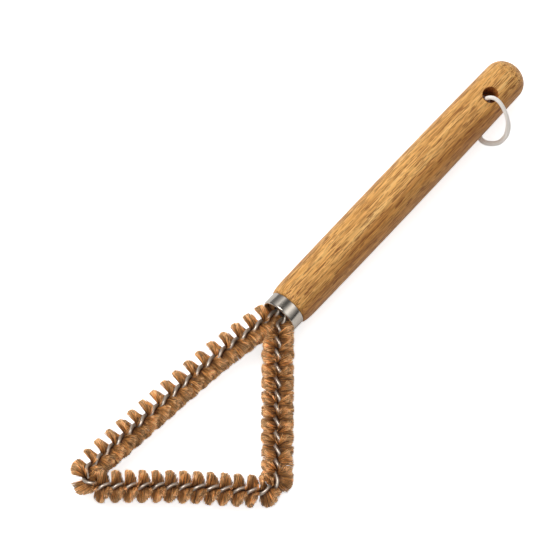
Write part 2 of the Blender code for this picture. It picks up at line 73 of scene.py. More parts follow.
# %% The brush's own frame in the scene
MM = 0.001
FERRULE_LENGTH = 7.0 * MM
SHOULDER_Y = FERRULE_LENGTH + 0.3 * MM
HANDLE_LENGTH = 170.0 * MM
TIP_Y = SHOULDER_Y + HANDLE_LENGTH
HOLE_Y = TIP_Y - 22.5 * MM
HOLE_TILT = math.radians(17.0)
UP = Vector((0, 0, 1))


def place_of_brush():
    """Matrix from the brush's own frame to the scene."""
    hinge = frame["joints"][0]
    hole_middle = Vector(hinge["pos_m"])
    hole_way = Vector(hinge["axis"]).normalized()
    low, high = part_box("ferrule")
    along = (hole_middle - (low + high) / 2).normalized()
    beside_hole = along.cross(hole_way).normalized()
    across = beside_hole * math.cos(HOLE_TILT) + hole_way * math.sin(HOLE_TILT)
    up = across.cross(along)
    turn = Matrix((across, along, up)).transposed()
    return Matrix.Translation(hole_middle - along * HOLE_Y) @ turn.to_4x4()


BRUSH = place_of_brush()
print("ferrule's rim in the scene, mm:", [round(value * 1000, 2) for value in BRUSH.translation])

# %% [markdown]
# ## The camera
#
# The photograph looks down on the brush at about 63 degrees, from beyond the triangle.
# The ellipses of the cross hole and the ferrule give the direction. Far and near parts
# show at almost the same scale, so the lens is very long. The camera could be aimed with
# a constraint, but a matrix built from its three directions says exactly what it sees:
# one named point of the photograph is the middle of the ferrule's rim.

# %% Camera
IMAGE_SIDE_PX = 533
PX_PER_MM = 2.055
RIM_IN_PHOTO_PX = (278.6, 317.3)
CAMERA_RIGHT = Vector((0.7565, 0.6540, -0.0025))
CAMERA_UP = Vector((-0.5919, 0.6862, 0.4228))
CAMERA_DISTANCE = 12.0


def add_object(name, data):
    """An object of the scene that holds the given data."""
    obj = bpy.data.objects.new(name, data)
    bpy.context.scene.collection.objects.link(obj)
    return obj


def add_camera():
    """A long lens that puts the ferrule's rim where the photograph has it."""
    turn = BRUSH.to_3x3()
    right = (turn @ CAMERA_RIGHT).normalized()
    back = right.cross(turn @ CAMERA_UP).normalized()
    up = back.cross(right)
    frame_side = IMAGE_SIDE_PX / PX_PER_MM * MM
    rim_right = (RIM_IN_PHOTO_PX[0] - IMAGE_SIDE_PX / 2) / PX_PER_MM * MM
    rim_up = (IMAGE_SIDE_PX / 2 - RIM_IN_PHOTO_PX[1]) / PX_PER_MM * MM
    place = BRUSH.translation + back * CAMERA_DISTANCE - right * rim_right - up * rim_up
    data = bpy.data.cameras.new("photo_camera")
    data.sensor_width = 36.0
    data.lens = data.sensor_width * CAMERA_DISTANCE / frame_side
    data.clip_end = 100.0
    camera = add_object("photo_camera", data)
    camera.matrix_world = Matrix((right, up, back)).transposed().to_4x4()
    camera.location = place
    bpy.context.scene.camera = camera
    return right, up, back


VIEW_RIGHT, VIEW_UP, VIEW_BACK = add_camera()
print("camera looks down at", round(math.degrees(math.asin(VIEW_BACK.z)), 1), "degrees")

# %% [markdown]
# ## Small helpers for meshes
#
# Every piece ends as one object at the origin with its place in its mesh, so that a
# pattern on Object coordinates stays put. These helpers close a bmesh, link the object,
# and let it ride on the body that carries it.

# %% Helpers for meshes
WELD_DISTANCE = 1e-7
LINE_CUTS = 24


def finish_mesh(name, bm, smooth_angle=35.0):
    """A mesh object from a bmesh, with outward normals and sharp edges kept."""
    bmesh.ops.remove_doubles(bm, verts=bm.verts, dist=WELD_DISTANCE)
    bmesh.ops.recalc_face_normals(bm, faces=bm.faces)
    mesh = bpy.data.meshes.new(name)
    bm.to_mesh(mesh)
    bm.free()
    mesh.shade_smooth()
    mesh.set_sharp_from_angle(angle=math.radians(smooth_angle))
    return add_object(name, mesh)


def dress(obj, material, body, slot, *nodes):
    """Give a piece its finish, its body and the solids that it stands for."""
    obj.data.materials.append(material)
    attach(obj, body)
    if nodes:
        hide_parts(*nodes)
    return obj


def turned(profile, sides, place):
    """A bmesh turned from (station, radius) pairs round the Y axis, then put in place."""
    bm = bmesh.new()
    points = [bm.verts.new((radius, station, 0)) for station, radius in profile]
    edges = [bm.edges.new(pair) for pair in zip(points, points[1:])]
    bmesh.ops.spin(
        bm,
        geom=points + edges,
        cent=(0, 0, 0),
        axis=(0, 1, 0),
        angle=math.tau,
        steps=sides,
        use_merge=True,
    )
    bmesh.ops.remove_doubles(bm, verts=bm.verts, dist=WELD_DISTANCE)
    bmesh.ops.transform(bm, matrix=place, verts=bm.verts)
    return bm


def arc(centre, radii, start, end, steps):
    """Points of an elliptic arc in the (station, radius) plane."""
    turns = [math.radians(start + (end - start) * i / steps) for i in range(steps + 1)]
    return [
        (centre[0] + radii[0] * math.cos(turn), centre[1] + radii[1] * math.sin(turn))
        for turn in turns
    ]


def smooth_line(points, step):
    """Points a fixed step apart on a smooth curve through a route."""
    ends = [2 * points[0] - points[1], *points, 2 * points[-1] - points[-2]]
    fine = []
    for a, b, c, d in zip(ends, ends[1:], ends[2:], ends[3:]):
        for cut in range(LINE_CUTS):
            t = cut / LINE_CUTS
            bend = (2 * a - 5 * b + 4 * c - d) * t * t + (3 * b - a - 3 * c + d) * t ** 3
            fine.append(0.5 * (2 * b + (c - a) * t + bend))
    fine.append(points[-1])
    run = [0.0]
    for one, two in zip(fine, fine[1:]):
        run.append(run[-1] + (two - one).length)
    stations = np.linspace(0.0, run[-1], round(run[-1] / step) + 1)
    axes = [np.interp(stations, run, [point[axis] for point in fine]) for axis in range(3)]
    return [Vector(place) for place in zip(*axes)], run[-1]


print("helpers ready")

# %% [markdown]
# ## The cord loop
#
# A flat woven cotton cord goes up through the cross hole, bends over the handle's side,
# stands in a loop beside it and comes back along the table, under the handle and up into
# the hole. A curve with a round bevel would give a round cord. Here a flat oval ring is
# swept along the route instead, so that the cord can show its narrow edge at the top and
# lie flat on the table, as the real one does.

# %% Cord: its route
CORD_WIDTH = 2.6 * MM
CORD_THICKNESS = 2.0 * MM
CORD_SOLID_RADIUS = 1.1 * MM
CORD_BEND = 4.4 * MM
TABLE_CLEARANCE = 0.05 * MM
ENTRY_HEADING = math.radians(-32)
KNOT_CLEARANCE = 0.3 * MM
KNOT_FOOT = -6.8 * MM
KNOT_HEIGHT = 5.5 * MM
STRAIGHT_RISE = 1.8 * MM
ENTRY_TURNS = (105, 85, 65, 45, 25, 8)
CORD_OVER_HANDLE = (
    (0.0012, -0.0007, 0.0038),
    (0.0020, -0.0017, 0.0067),
    (0.0029, -0.0023, 0.0094),
    (0.0044, -0.0020, 0.0117),
    (0.0068, -0.0013, 0.0128),
    (0.0098, -0.0011, 0.0122),
    (0.0131, -0.0017, 0.0099),
    (0.0159, -0.0027, 0.0064),
    (0.0179, -0.0040, 0.0016),
    (0.0186, -0.0060, -0.0042),
    (0.0179, -0.0078, -0.0080),
    (0.0167, -0.0096, -0.0105),
)
CORD_ON_TABLE = (
    (0.0144, -0.0117),
    (0.0117, -0.0134),
    (0.0089, -0.0137),
    (0.0066, -0.0124),
    (0.0051, -0.0101),
    (0.0042, -0.0078),
    (0.0031, -0.0055),
)
HOLE = Matrix.Translation((0, HOLE_Y, 0)) @ Matrix.Rotation(HOLE_TILT, 4, "Y")


def above_table(x, y, height):
    """The point of the scene over a place beside the hole, at a height over the table."""
    point = BRUSH @ Vector((x, HOLE_Y + y, 0))
    up = BRUSH.to_3x3() @ UP
    return point + up * ((height - point.z) / up.z)


def cord_route():
    """The cord's centre from the knot's top round to its foot, in the scene."""
    to_scene = BRUSH @ HOLE
    knot_top = KNOT_FOOT + KNOT_HEIGHT + KNOT_CLEARANCE
    route = [to_scene @ Vector((0, 0, knot_top + rise)) for rise in (0.0, STRAIGHT_RISE)]
    route += [BRUSH @ Vector((x, HOLE_Y + y, z)) for x, y, z in CORD_OVER_HANDLE]
    route += [above_table(x, y, CORD_SOLID_RADIUS) for x, y in CORD_ON_TABLE]
    out = Vector((math.cos(ENTRY_HEADING), math.sin(ENTRY_HEADING), 0))
    foot = UP * (KNOT_FOOT - KNOT_CLEARANCE)
    for degrees in ENTRY_TURNS:
        turn = math.radians(degrees)
        across = out * CORD_BEND * (1 - math.cos(turn))
        route.append(to_scene @ (foot + across - UP * (CORD_BEND * math.sin(turn))))
    route.append(to_scene @ foot)
    return route


cord_line, cord_length = smooth_line(cord_route(), step=0.5 * MM)
for point in cord_line:
    point.z = max(point.z, CORD_THICKNESS / 2 + TABLE_CLEARANCE)
print("cord:", round(cord_length * 1000, 1), "mm of cotton,", len(cord_line), "points")

# %% [markdown]
# ## Sweeping a ring along a line
#
# A ring made by create_circle is extruded from one station to the next, and each new ring
# is moved into the frame of its station. Two numbers per corner, round the cord and along
# it, become a UV map, so that the weave follows the cord round its bends.

# %% Cord: the sweep
def sweep(name, line, wide_ways, width, thickness, sides):
    """A closed oval tube along a line, with a UV map of turns round and metres along."""
    bm = bmesh.new()
    round_layer = bm.verts.layers.float.new("round")
    along_layer = bm.verts.layers.float.new("run")
    uv_layer = bm.loops.layers.uv.new("weave")
    ring = bmesh.ops.create_circle(bm, segments=sides, radius=0.5)["verts"]
    for vert in ring:
        vert[round_layer] = (math.atan2(vert.co.y, vert.co.x) / math.tau) % 1.0
    bmesh.ops.scale(bm, verts=ring, vec=(width, thickness, 1))
    bm.faces.new(ring)
    edges = list(bm.edges)
    placed = Matrix.Identity(4)
    run = 0.0
    for number, (point, wide) in enumerate(zip(line, wide_ways)):
        before = line[max(0, number - 1)]
        after = line[min(len(line) - 1, number + 1)]
        way = (after - before).normalized()
        wide = (wide - way * wide.dot(way)).normalized()
        flat = way.cross(wide)
        turn = Matrix((wide, flat, way)).transposed().to_4x4()
        target = Matrix.Translation(point) @ turn
        if number:
            grown = bmesh.ops.extrude_edge_only(bm, edges=edges)["geom"]
            ring = [item for item in grown if isinstance(item, bmesh.types.BMVert)]
            edges = [item for item in grown if isinstance(item, bmesh.types.BMEdge)]
            edges = [edge for edge in edges if all(vert in ring for vert in edge.verts)]
            run += (point - before).length
        bmesh.ops.transform(bm, matrix=target @ placed.inverted(), verts=ring)
        placed = target
        for vert in ring:
            vert[along_layer] = run
    bmesh.ops.contextual_create(bm, geom=edges)
    for face in bm.faces:
        rounds = [vert[round_layer] for vert in face.verts]
        wraps = max(rounds) - min(rounds) > 0.5
        for loop in face.loops:
            turns = loop.vert[round_layer]
            if wraps and turns < 0.5:
                turns += 1.0
            loop[uv_layer].uv = (turns, loop.vert[along_layer])
    return finish_mesh(name, bm, smooth_angle=60.0)


FLAT_FROM = 0.30
FLAT_WITHIN = 0.25


def cord_wide_ways():
    """Which way the cord is wide: along the view at the top, level on the table."""
    ways = []
    for number, point in enumerate(cord_line):
        share = number / (len(cord_line) - 1)
        flat = min(1.0, max(0.0, (share - FLAT_FROM) / FLAT_WITHIN))
        flat = flat * flat * (3 - 2 * flat)
        after = cord_line[min(len(cord_line) - 1, number + 1)]
        before = cord_line[max(0, number - 1)]
        level = UP.cross(after - before).normalized()
        if ways and level.dot(ways[-1]) < 0:
            level = -level
        ways.append((VIEW_BACK * (1 - flat) + level * flat).normalized())
    return ways


cord = sweep("woven_cord", cord_line, cord_wide_ways(), CORD_WIDTH, CORD_THICKNESS, sides=20)
print("cord faces:", len(cord.data.polygons))

# %% [markdown]
# ## The barrel knot
#
# The cord's two ends are joined where the photograph doesn't show them, by a small barrel
# knot that is drawn into the cross hole. The same sweep makes it: the line starts on the
# hole's axis, winds outwards, makes three wraps close beside each other and winds in again.

# %% Knot
KNOT_RADIUS = 3.0 * MM
KNOT_CORD = 1.8 * MM
KNOT_TURNS = 3.6
KNOT_EASE = 0.14
KNOT_STEPS = 90


def knot_line():
    """Three wraps of cord round the hole's axis, drawn in at both ends."""
    points = []
    for step in range(KNOT_STEPS + 1):
        share = step / KNOT_STEPS
        ease = min(1.0, share / KNOT_EASE, (1 - share) / KNOT_EASE)
        radius = (KNOT_RADIUS - KNOT_CORD / 2) * math.sin(ease * math.pi / 2)
        turn = math.tau * KNOT_TURNS * share
        rise = KNOT_FOOT + KNOT_CORD / 2 + (KNOT_HEIGHT - KNOT_CORD) * share
        spot = Vector((radius * math.cos(turn), radius * math.sin(turn), rise))
        points.append(BRUSH @ HOLE @ spot)
    return points


knot_points, knot_length = smooth_line(knot_line(), step=0.4 * MM)
hole_up = (BRUSH @ HOLE).to_3x3() @ UP
knot_ways = [hole_up] * len(knot_points)
knot = sweep("barrel_knot", knot_points, knot_ways, KNOT_CORD, KNOT_CORD, sides=12)
print("knot:", round(knot_length * 1000, 1), "mm of cord in it")

# %% [markdown]
# ## Helpers for materials
#
# A material is a few lines of nodes. Linking each by hand would take hundreds of lines, so
# one helper adds a node and fills its sockets, with a number where the value is fixed and
# with another node's output where it is linked. The rest are short names for common nodes.

# %% Helpers for materials
def fill(tree, node, inputs):
    """Fill input sockets, each with a value or with another node's output."""
    for key, value in inputs.items():
        if isinstance(value, bpy.types.NodeSocket):
            tree.links.new(value, node.inputs[key])
        else:
            node.inputs[key].default_value = value


def add_node(tree, kind, inputs=None, **settings):
    """A node with its settings and its input sockets filled."""
    node = tree.nodes.new(kind)
    for key, value in settings.items():
        setattr(node, key, value)
    fill(tree, node, inputs or {})
    return node


def new_material(name, roughness=0.5, metallic=0.0):
    """A material with one Principled shader, and the tree that holds it."""
    material = bpy.data.materials.new(name)
    material.use_nodes = True
    tree = material.node_tree
    shader = tree.nodes["Principled BSDF"]
    fill(tree, shader, {"Roughness": roughness, "Metallic": metallic})
    return material, tree, shader


def math_node(tree, operation, *values):
    """One arithmetic node's output."""
    inputs = dict(enumerate(values))
    return add_node(tree, "ShaderNodeMath", inputs, operation=operation).outputs[0]


def vector_node(tree, operation, one, two):
    """One node of vector arithmetic."""
    inputs = {0: one, 1: two}
    return add_node(tree, "ShaderNodeVectorMath", inputs, operation=operation)


def direction_share(tree, way, axis):
    """How far a vector goes along an axis."""
    return vector_node(tree, "DOT_PRODUCT", way, axis).outputs["Value"]


def sum_of_squares(tree, one, two):
    """The squared distance from two shares of it."""
    return math_node(tree, "MULTIPLY_ADD", one, one, math_node(tree, "MULTIPLY", two, two))


def ramp(tree, value, *stops):
    """A colour ramp from (place, colour) stops, where a single number is a grey."""
    node = add_node(tree, "ShaderNodeValToRGB", {"Fac": value})
    elements = node.color_ramp.elements
    elements.remove(elements[1])
    elements[0].position = stops[0][0]
    for number, (place, colour) in enumerate(stops):
        element = elements.new(place) if number else elements[0]
        element.color = (*(colour if isinstance(colour, tuple) else (colour,) * 3), 1.0)
    return node.outputs["Color"]


def mix_colour(tree, blend, fac, one, two):
    """A colour mix's output."""
    node = add_node(tree, "ShaderNodeMix", data_type="RGBA", blend_type=blend)
    sockets = {socket.name: number for number, socket in enumerate(node.inputs) if socket.enabled}
    one, two = ((*colour, 1.0) if isinstance(colour, tuple) else colour for colour in (one, two))
    fill(tree, node, {sockets["Factor"]: fac, sockets["A"]: one, sockets["B"]: two})
    return next(socket for socket in node.outputs if socket.enabled)


def brush_coordinates(tree):
    """Object coordinates turned into the brush's own frame, in millimetres."""
    back = BRUSH.inverted()
    coords = add_node(tree, "ShaderNodeTexCoord")
    inputs = {
        "Vector": coords.outputs["Object"],
        "Location": tuple(back.translation / MM),
        "Rotation": tuple(back.to_euler()),
        "Scale": (1 / MM, 1 / MM, 1 / MM),
    }
    return add_node(tree, "ShaderNodeMapping", inputs).outputs["Vector"]


def noise(tree, vector, scale, detail=2.0, roughness=0.5):
    """A noise texture's value from 0 to 1, its scale a number or one for each direction."""
    if isinstance(scale, tuple):
        vector, scale = vector_node(tree, "MULTIPLY", vector, scale).outputs[0], 1.0
    inputs = {"Vector": vector, "Scale": scale, "Detail": detail, "Roughness": roughness}
    return add_node(tree, "ShaderNodeTexNoise", inputs).outputs["Fac"]


def bump(tree, height, strength, distance):
    """A bumped normal."""
    inputs = {"Height": height, "Strength": strength, "Distance": distance}
    return add_node(tree, "ShaderNodeBump", inputs).outputs["Normal"]


print("material helpers ready")

# %% [markdown]
# ## Cotton
#
# The cord is woven from fine off-white cotton. Its yarns are too fine to model one by one:
# the whole cord is a few pixels wide. Two slanting waves over its UV map cross as the
# yarns of a braid do. They go into the bump, and a little into the colour as painted shade
# in the grooves between the yarns.

# %% Cotton finish
YARNS_ROUND = 10
YARN_STEP = 0.85 * MM
# The grooves between yarns get a darker colour as painted shade.
YARN_GROOVE_SHADE = (0.86, 0.78, 0.70)
YARN_LIGHT = (0.99, 0.94, 0.88)


def cotton_material():
    """Off-white braided cotton, its yarns crossing at a slant."""
    material, tree, shader = new_material("braided_cotton", roughness=0.85)
    uv = add_node(tree, "ShaderNodeUVMap", uv_map="weave").outputs["UV"]
    parts = add_node(tree, "ShaderNodeSeparateXYZ", {"Vector": uv}).outputs
    turns = math_node(tree, "MULTIPLY", parts["X"], math.tau * YARNS_ROUND)
    rows = math_node(tree, "MULTIPLY", parts["Y"], math.tau / YARN_STEP)
    one = math_node(tree, "SINE", math_node(tree, "ADD", turns, rows))
    two = math_node(tree, "SINE", math_node(tree, "SUBTRACT", turns, rows))
    yarns = math_node(tree, "MAXIMUM", one, two)
    height = math_node(tree, "MULTIPLY_ADD", yarns, 0.5, 0.5)
    coords = add_node(tree, "ShaderNodeTexCoord").outputs["Object"]
    fuzz = noise(tree, coords, 2600.0, detail=3.0)
    # Painted shade: the grooves between the yarns are darker, the crests paler.
    lit = mix_colour(tree, "MIX", height, YARN_GROOVE_SHADE, YARN_LIGHT)
    worn = mix_colour(tree, "MULTIPLY", 0.35, lit, ramp(tree, fuzz, (0.3, 0.8), (0.7, 1.0)))
    rough = math_node(tree, "MULTIPLY_ADD", fuzz, 0.2, height)
    inputs = {
        "Base Color": worn,
        "Normal": bump(tree, rough, 0.5, 0.12 * MM),
        "Sheen Weight": 0.25,
        "Sheen Roughness": 0.5,
    }
    fill(tree, shader, inputs)
    return material


COTTON = cotton_material()
dress(cord, COTTON, "hanging_loop", "white_cord", "hanging_cord")
dress(knot, COTTON, "hanging_loop", "white_cord", "cord_knot")
print("cord dressed")

# %% [markdown]
# ## The turned handle
#
# The handle is oak, turned on a lathe, so a profile is drawn once and spun round the
# axis: a spigot for the ferrule, a rounded shoulder, a long shallow belly and a domed
# end. The cross hole is drilled afterwards, with a cutter whose ends flare, which eases
# the hole's edges. The bore for the wires stays open at the front.

# %% Handle: profile
SHOULDER_RADIUS = 9.95 * MM
SHOULDER_ROUND = 8.0 * MM
NECK_RADIUS = 11.08 * MM
BELLY_RADIUS = 11.25 * MM
BELLY_FROM_SHOULDER = 62.0 * MM
END_RADIUS = 10.4 * MM
DOME_DEPTH = 9.2 * MM
DOME_Y = TIP_Y - DOME_DEPTH
FERRULE_RADIUS = 9.8 * MM
FERRULE_WALL = 0.5 * MM
SPIGOT_RADIUS = FERRULE_RADIUS - FERRULE_WALL - 0.3 * MM
WOOD_RECESS = 2.8 * MM
SOCKET_RADIUS = 5.8 * MM
SOCKET_END_Y = WOOD_RECESS + 28.0 * MM
HOLE_RADIUS = 3.9 * MM
HOLE_EDGE_EASE = 0.5 * MM
WOOD_EDGE = 0.25 * MM
SHOULDER_SHARES = (0.05, 0.08, 0.12, 0.18, 0.26, 0.36, 0.48, 0.62, 0.8)
BODY_RINGS = 36
TURNED_SIDES = 128
HOLE_SIDES = 64


def handle_radius(station):
    """Radius of the long part of the handle, between its shoulder and its dome."""
    from_shoulder = station - SHOULDER_Y
    if from_shoulder < SHOULDER_ROUND:
        left = 1 - from_shoulder / SHOULDER_ROUND
        rise = math.sqrt(max(0.0, 1 - left * left))
        return SHOULDER_RADIUS + (NECK_RADIUS - SHOULDER_RADIUS) * rise
    from_belly = from_shoulder - BELLY_FROM_SHOULDER
    if from_belly < 0:
        share = from_belly / (BELLY_FROM_SHOULDER - SHOULDER_ROUND)
        return BELLY_RADIUS - (BELLY_RADIUS - NECK_RADIUS) * share * share
    share = from_belly / (DOME_Y - SHOULDER_Y - BELLY_FROM_SHOULDER)
    return BELLY_RADIUS - (BELLY_RADIUS - END_RADIUS) * share * share


def handle_profile():
    """Stations and radii from the bore's bottom round to the middle of the dome."""
    edge = WOOD_EDGE
    profile = [
        (SOCKET_END_Y, 0.0),
        (SOCKET_END_Y, SOCKET_RADIUS),
        (WOOD_RECESS, SOCKET_RADIUS),
        (WOOD_RECESS, SPIGOT_RADIUS - edge),
        (WOOD_RECESS + edge, SPIGOT_RADIUS),
        (SHOULDER_Y, SPIGOT_RADIUS),
        (SHOULDER_Y, SHOULDER_RADIUS - edge),
    ]
    profile += arc((SHOULDER_Y + edge, SHOULDER_RADIUS - edge), (edge, edge), 180, 90, 3)[1:]
    for share in SHOULDER_SHARES:
        station = SHOULDER_Y + share * SHOULDER_ROUND
        profile.append((station, handle_radius(station)))
    first = SHOULDER_Y + SHOULDER_ROUND
    for ring in range(BODY_RINGS):
        station = first + (DOME_Y - first) * ring / BODY_RINGS
        profile.append((station, handle_radius(station)))
    profile += arc((DOME_Y, 0.0), (DOME_DEPTH, END_RADIUS), 90, 0, 22)
    profile[-1] = (TIP_Y, 0.0)
    return profile


def carve(obj, cutter):
    """Cut one mesh from another for good, and drop the cutter."""
    cut = obj.modifiers.new("cut", "BOOLEAN")
    cut.operation = "DIFFERENCE"
    cut.solver = "EXACT"
    cut.object = cutter
    bpy.context.view_layer.update()
    graph = bpy.context.evaluated_depsgraph_get()
    mesh = bpy.data.meshes.new_from_object(obj.evaluated_get(graph))
    obj.modifiers.clear()
    obj.data = mesh
    bpy.data.objects.remove(cutter, do_unlink=True)


def hole_cutter():
    """A drill through the handle, flared at both faces."""
    surface = handle_radius(HOLE_Y)
    inner = surface - 2 * HOLE_EDGE_EASE
    outer = surface + 4 * HOLE_EDGE_EASE
    flare = HOLE_RADIUS + 2.2 * HOLE_EDGE_EASE
    outline = [(-outer, 0.0), (-outer, flare), (-inner, HOLE_RADIUS)]
    outline += [(inner, HOLE_RADIUS), (outer, flare), (outer, 0.0)]
    stand = Matrix.Rotation(math.radians(90), 4, "X")
    return finish_mesh("hole_cutter", turned(outline, HOLE_SIDES, BRUSH @ HOLE @ stand))


def turned_handle():
    """The lathe-turned handle with its cross hole."""
    bm = turned(handle_profile(), TURNED_SIDES, BRUSH)
    handle = finish_mesh("turned_handle", bm, smooth_angle=40.0)
    carve(handle, hole_cutter())
    handle.data.shade_smooth()
    handle.data.set_sharp_from_angle(angle=math.radians(30.0))
    return handle


handle = turned_handle()
print("handle faces:", len(handle.data.polygons))

# %% [markdown]
# ## Oak, as a node group
#
# Oak is ring porous: each year's ring starts with a band of coarse pores, which show on a
# turned surface as dark dashes along the grain. An image of oak would be the quick way,
# but it would tile and stretch. Here the rings are real ones in space, round a pith that
# lies well outside the handle, so they wander across it as they do on a turned blank.
# The pores are the cores of a Voronoi lattice stretched along the grain: noise cut at a
# level would give swirls, but each cell holds one slender spindle. The group puts out the
# colour and a height for the bump, from coordinates in millimetres with Y along the grain.

# %% Oak: rings and pores
PITH = (-32.0, 27.0)
RING_WANDER = 9.0
PORE_CORE = 0.88


def group_with(name, inputs, outputs):
    """A shader node group with its sockets, and its input and output nodes."""
    group = bpy.data.node_groups.new(name, "ShaderNodeTree")
    for way, sockets in (("INPUT", inputs), ("OUTPUT", outputs)):
        for socket, kind in sockets.items():
            group.interface.new_socket(socket, in_out=way, socket_type="NodeSocket" + kind)
    return group, group.nodes.new("NodeGroupInput").outputs, group.nodes.new("NodeGroupOutput")


def year_of_growth(tree, place, ring_width, slow):
    """How far a point lies into its year's ring, from 0 to 1."""
    wander = math_node(tree, "MULTIPLY_ADD", slow, RING_WANDER, -RING_WANDER / 2)
    parts = add_node(tree, "ShaderNodeSeparateXYZ", {"Vector": place}).outputs
    side = math_node(tree, "ADD", math_node(tree, "ADD", parts["X"], wander), -PITH[0])
    depth = math_node(tree, "ADD", math_node(tree, "ADD", parts["Z"], wander), -PITH[1])
    radius = math_node(tree, "SQRT", sum_of_squares(tree, side, depth))
    ragged = noise(tree, place, (0.9, 0.05, 0.9), detail=3.0)
    years = math_node(tree, "DIVIDE", radius, ring_width)
    return math_node(tree, "FRACT", math_node(tree, "MULTIPLY_ADD", ragged, 0.3, years))


def spindles(tree, place, scale, size):
    """Slender pores along the grain, one in each cell of a stretched lattice."""
    stretched = vector_node(tree, "MULTIPLY", place, scale).outputs[0]
    cells = add_node(tree, "ShaderNodeTexVoronoi", {"Vector": stretched, "Scale": 1.0})
    return ramp(tree, cells.outputs["Distance"], (size * PORE_CORE, 1.0), (size, 0.0))


def oak_pores(tree, place, year):
    """Long and short pores, the most of them where the year begins."""
    porous = ramp(tree, year, (0.0, 1.0), (0.3, 0.9), (0.6, 0.6), (0.9, 0.55), (1.0, 1.0))
    long_pores = spindles(tree, place, (1.4, 0.095, 1.4), 0.38)
    short_pores = spindles(tree, place, (2.0, 0.17, 2.0), 0.35)
    both = math_node(tree, "MAXIMUM", long_pores, short_pores)
    return math_node(tree, "MULTIPLY", both, porous)


print("oak's rings and pores ready")

# %% [markdown]
# The colour is built up as the eye takes it apart: broad streaks from straw to brown, fine
# fibres over them, the rings, a darker side that is partly heartwood and partly painted
# shade on the side away from the lamp, and the pores on top.

# %% Oak: the group
OAK_TONES = (
    (0.30, (0.50, 0.215, 0.045)),
    (0.44, (0.74, 0.360, 0.092)),
    (0.58, (0.88, 0.475, 0.140)),
    (0.74, (0.97, 0.590, 0.210)),
)
# A darker heartwood band, deepened as painted shade on the handle's side away from the lamp.
HEARTWOOD_AND_SHADE = (0.74, 0.63, 0.50)
PORE_TONE = (0.22, 0.068, 0.010)


def oak_group():
    """Rings, pores and fibres of oak, from coordinates in millimetres."""
    inputs = {"Position": "Vector", "Ring Width": "Float"}
    tree, given, result = group_with("oak_grain", inputs, {"Colour": "Color", "Height": "Float"})
    place = given["Position"]
    slow = noise(tree, place, (0.05, 0.012, 0.05))
    year = year_of_growth(tree, place, given["Ring Width"], slow)
    pores = oak_pores(tree, place, year)
    fibre = noise(tree, place, (2.3, 0.08, 2.3), detail=3.0, roughness=0.6)
    streak = noise(tree, place, (0.6, 0.026, 0.6), detail=4.0, roughness=0.6)
    fibres = ramp(tree, fibre, (0.3, 0.62), (0.7, 1.14))
    colour = mix_colour(tree, "MULTIPLY", 0.8, ramp(tree, streak, *OAK_TONES), fibres)
    bands = ramp(tree, year, (0.0, 0.7), (0.3, 1.0), (0.8, 1.1), (1.0, 0.72))
    colour = mix_colour(tree, "MULTIPLY", 0.5, colour, bands)
    # Painted shade: the handle's +X side, away from the lamp, is darkened together with a
    # heartwood band.
    across = direction_share(tree, place, (1, 0, 0))
    edge = math_node(tree, "MULTIPLY_ADD", across, 0.05, math_node(tree, "MULTIPLY", slow, 0.6))
    heart_and_shade = ramp(tree, edge, (0.56, 1.0), (0.71, HEARTWOOD_AND_SHADE))
    colour = mix_colour(tree, "MULTIPLY", 1.0, colour, heart_and_shade)
    colour = mix_colour(tree, "MIX", math_node(tree, "MULTIPLY", pores, 0.95), colour, PORE_TONE)
    raised = math_node(tree, "MULTIPLY_ADD", fibre, 0.25, 0.75)
    height = math_node(tree, "SUBTRACT", raised, pores)
    fill(tree, result, {"Colour": colour, "Height": height})
    return tree


OAK = oak_group()
print("oak group nodes:", len(OAK.nodes))

# %% [markdown]
# ## The oiled finish
#
# Oil leaves the wood satin: not a film on top, but a soft gloss that the open pores break
# up. So the roughness is a fixed value with a little of the grain mixed in, and the pores
# go into the bump as shallow grooves. The cross hole's wall shows end grain, which is dull
# and has drunk more oil, and its colour is darkened further as painted shade in the hole.
# A mask finds it by its distance from the hole's axis.

# %% Handle finish
RING_WIDTH = 3.4
# Darker end grain in the cross hole, deepened as painted shade inside the hole.
END_GRAIN_AND_SHADE = (0.66, 0.46, 0.32)
MASK_MARGIN = 0.15 * MM


def hole_mask(tree, place):
    """One inside the cross hole, nought elsewhere."""
    across = Vector((math.cos(HOLE_TILT), 0, -math.sin(HOLE_TILT)))
    sideways = direction_share(tree, place, across)
    onward = math_node(tree, "ADD", direction_share(tree, place, (0, 1, 0)), -HOLE_Y / MM)
    reach = (HOLE_RADIUS + MASK_MARGIN) / MM
    return math_node(tree, "LESS_THAN", sum_of_squares(tree, onward, sideways), reach * reach)


def oak_material():
    """Oiled oak with its grain along the handle."""
    material, tree, shader = new_material("oiled_oak", roughness=0.5)
    place = brush_coordinates(tree)
    inputs = {"Position": place, "Ring Width": RING_WIDTH}
    grain = add_node(tree, "ShaderNodeGroup", inputs, node_tree=OAK).outputs
    sunk = hole_mask(tree, place)
    satin = math_node(tree, "MULTIPLY_ADD", grain["Height"], -0.14, 0.52)
    inputs = {
        # Inside the cross hole the colour is darkened: end grain and painted shade.
        "Base Color": mix_colour(tree, "MULTIPLY", sunk, grain["Colour"], END_GRAIN_AND_SHADE),
        "Roughness": math_node(tree, "MAXIMUM", satin, sunk),
        "Specular IOR Level": 0.36,
        "Normal": bump(tree, grain["Height"], 0.35, 0.12 * MM),
    }
    fill(tree, shader, inputs)
    return material


OAK_FINISH = oak_material()
dress(handle, OAK_FINISH, "brush", "oiled_wood", "handle")
print("handle dressed")

# %% [markdown]
# ## The ferrule
#
# A thin steel band holds the handle's front end together. Its front rim is rolled
# inwards, so a bright line runs round it. A profile with a real wall is spun round the
# axis, as for the handle, and its back edge is barely rounded.

# %% Ferrule
FERRULE_ROLL = 0.9 * MM
FERRULE_EDGE = 0.12 * MM


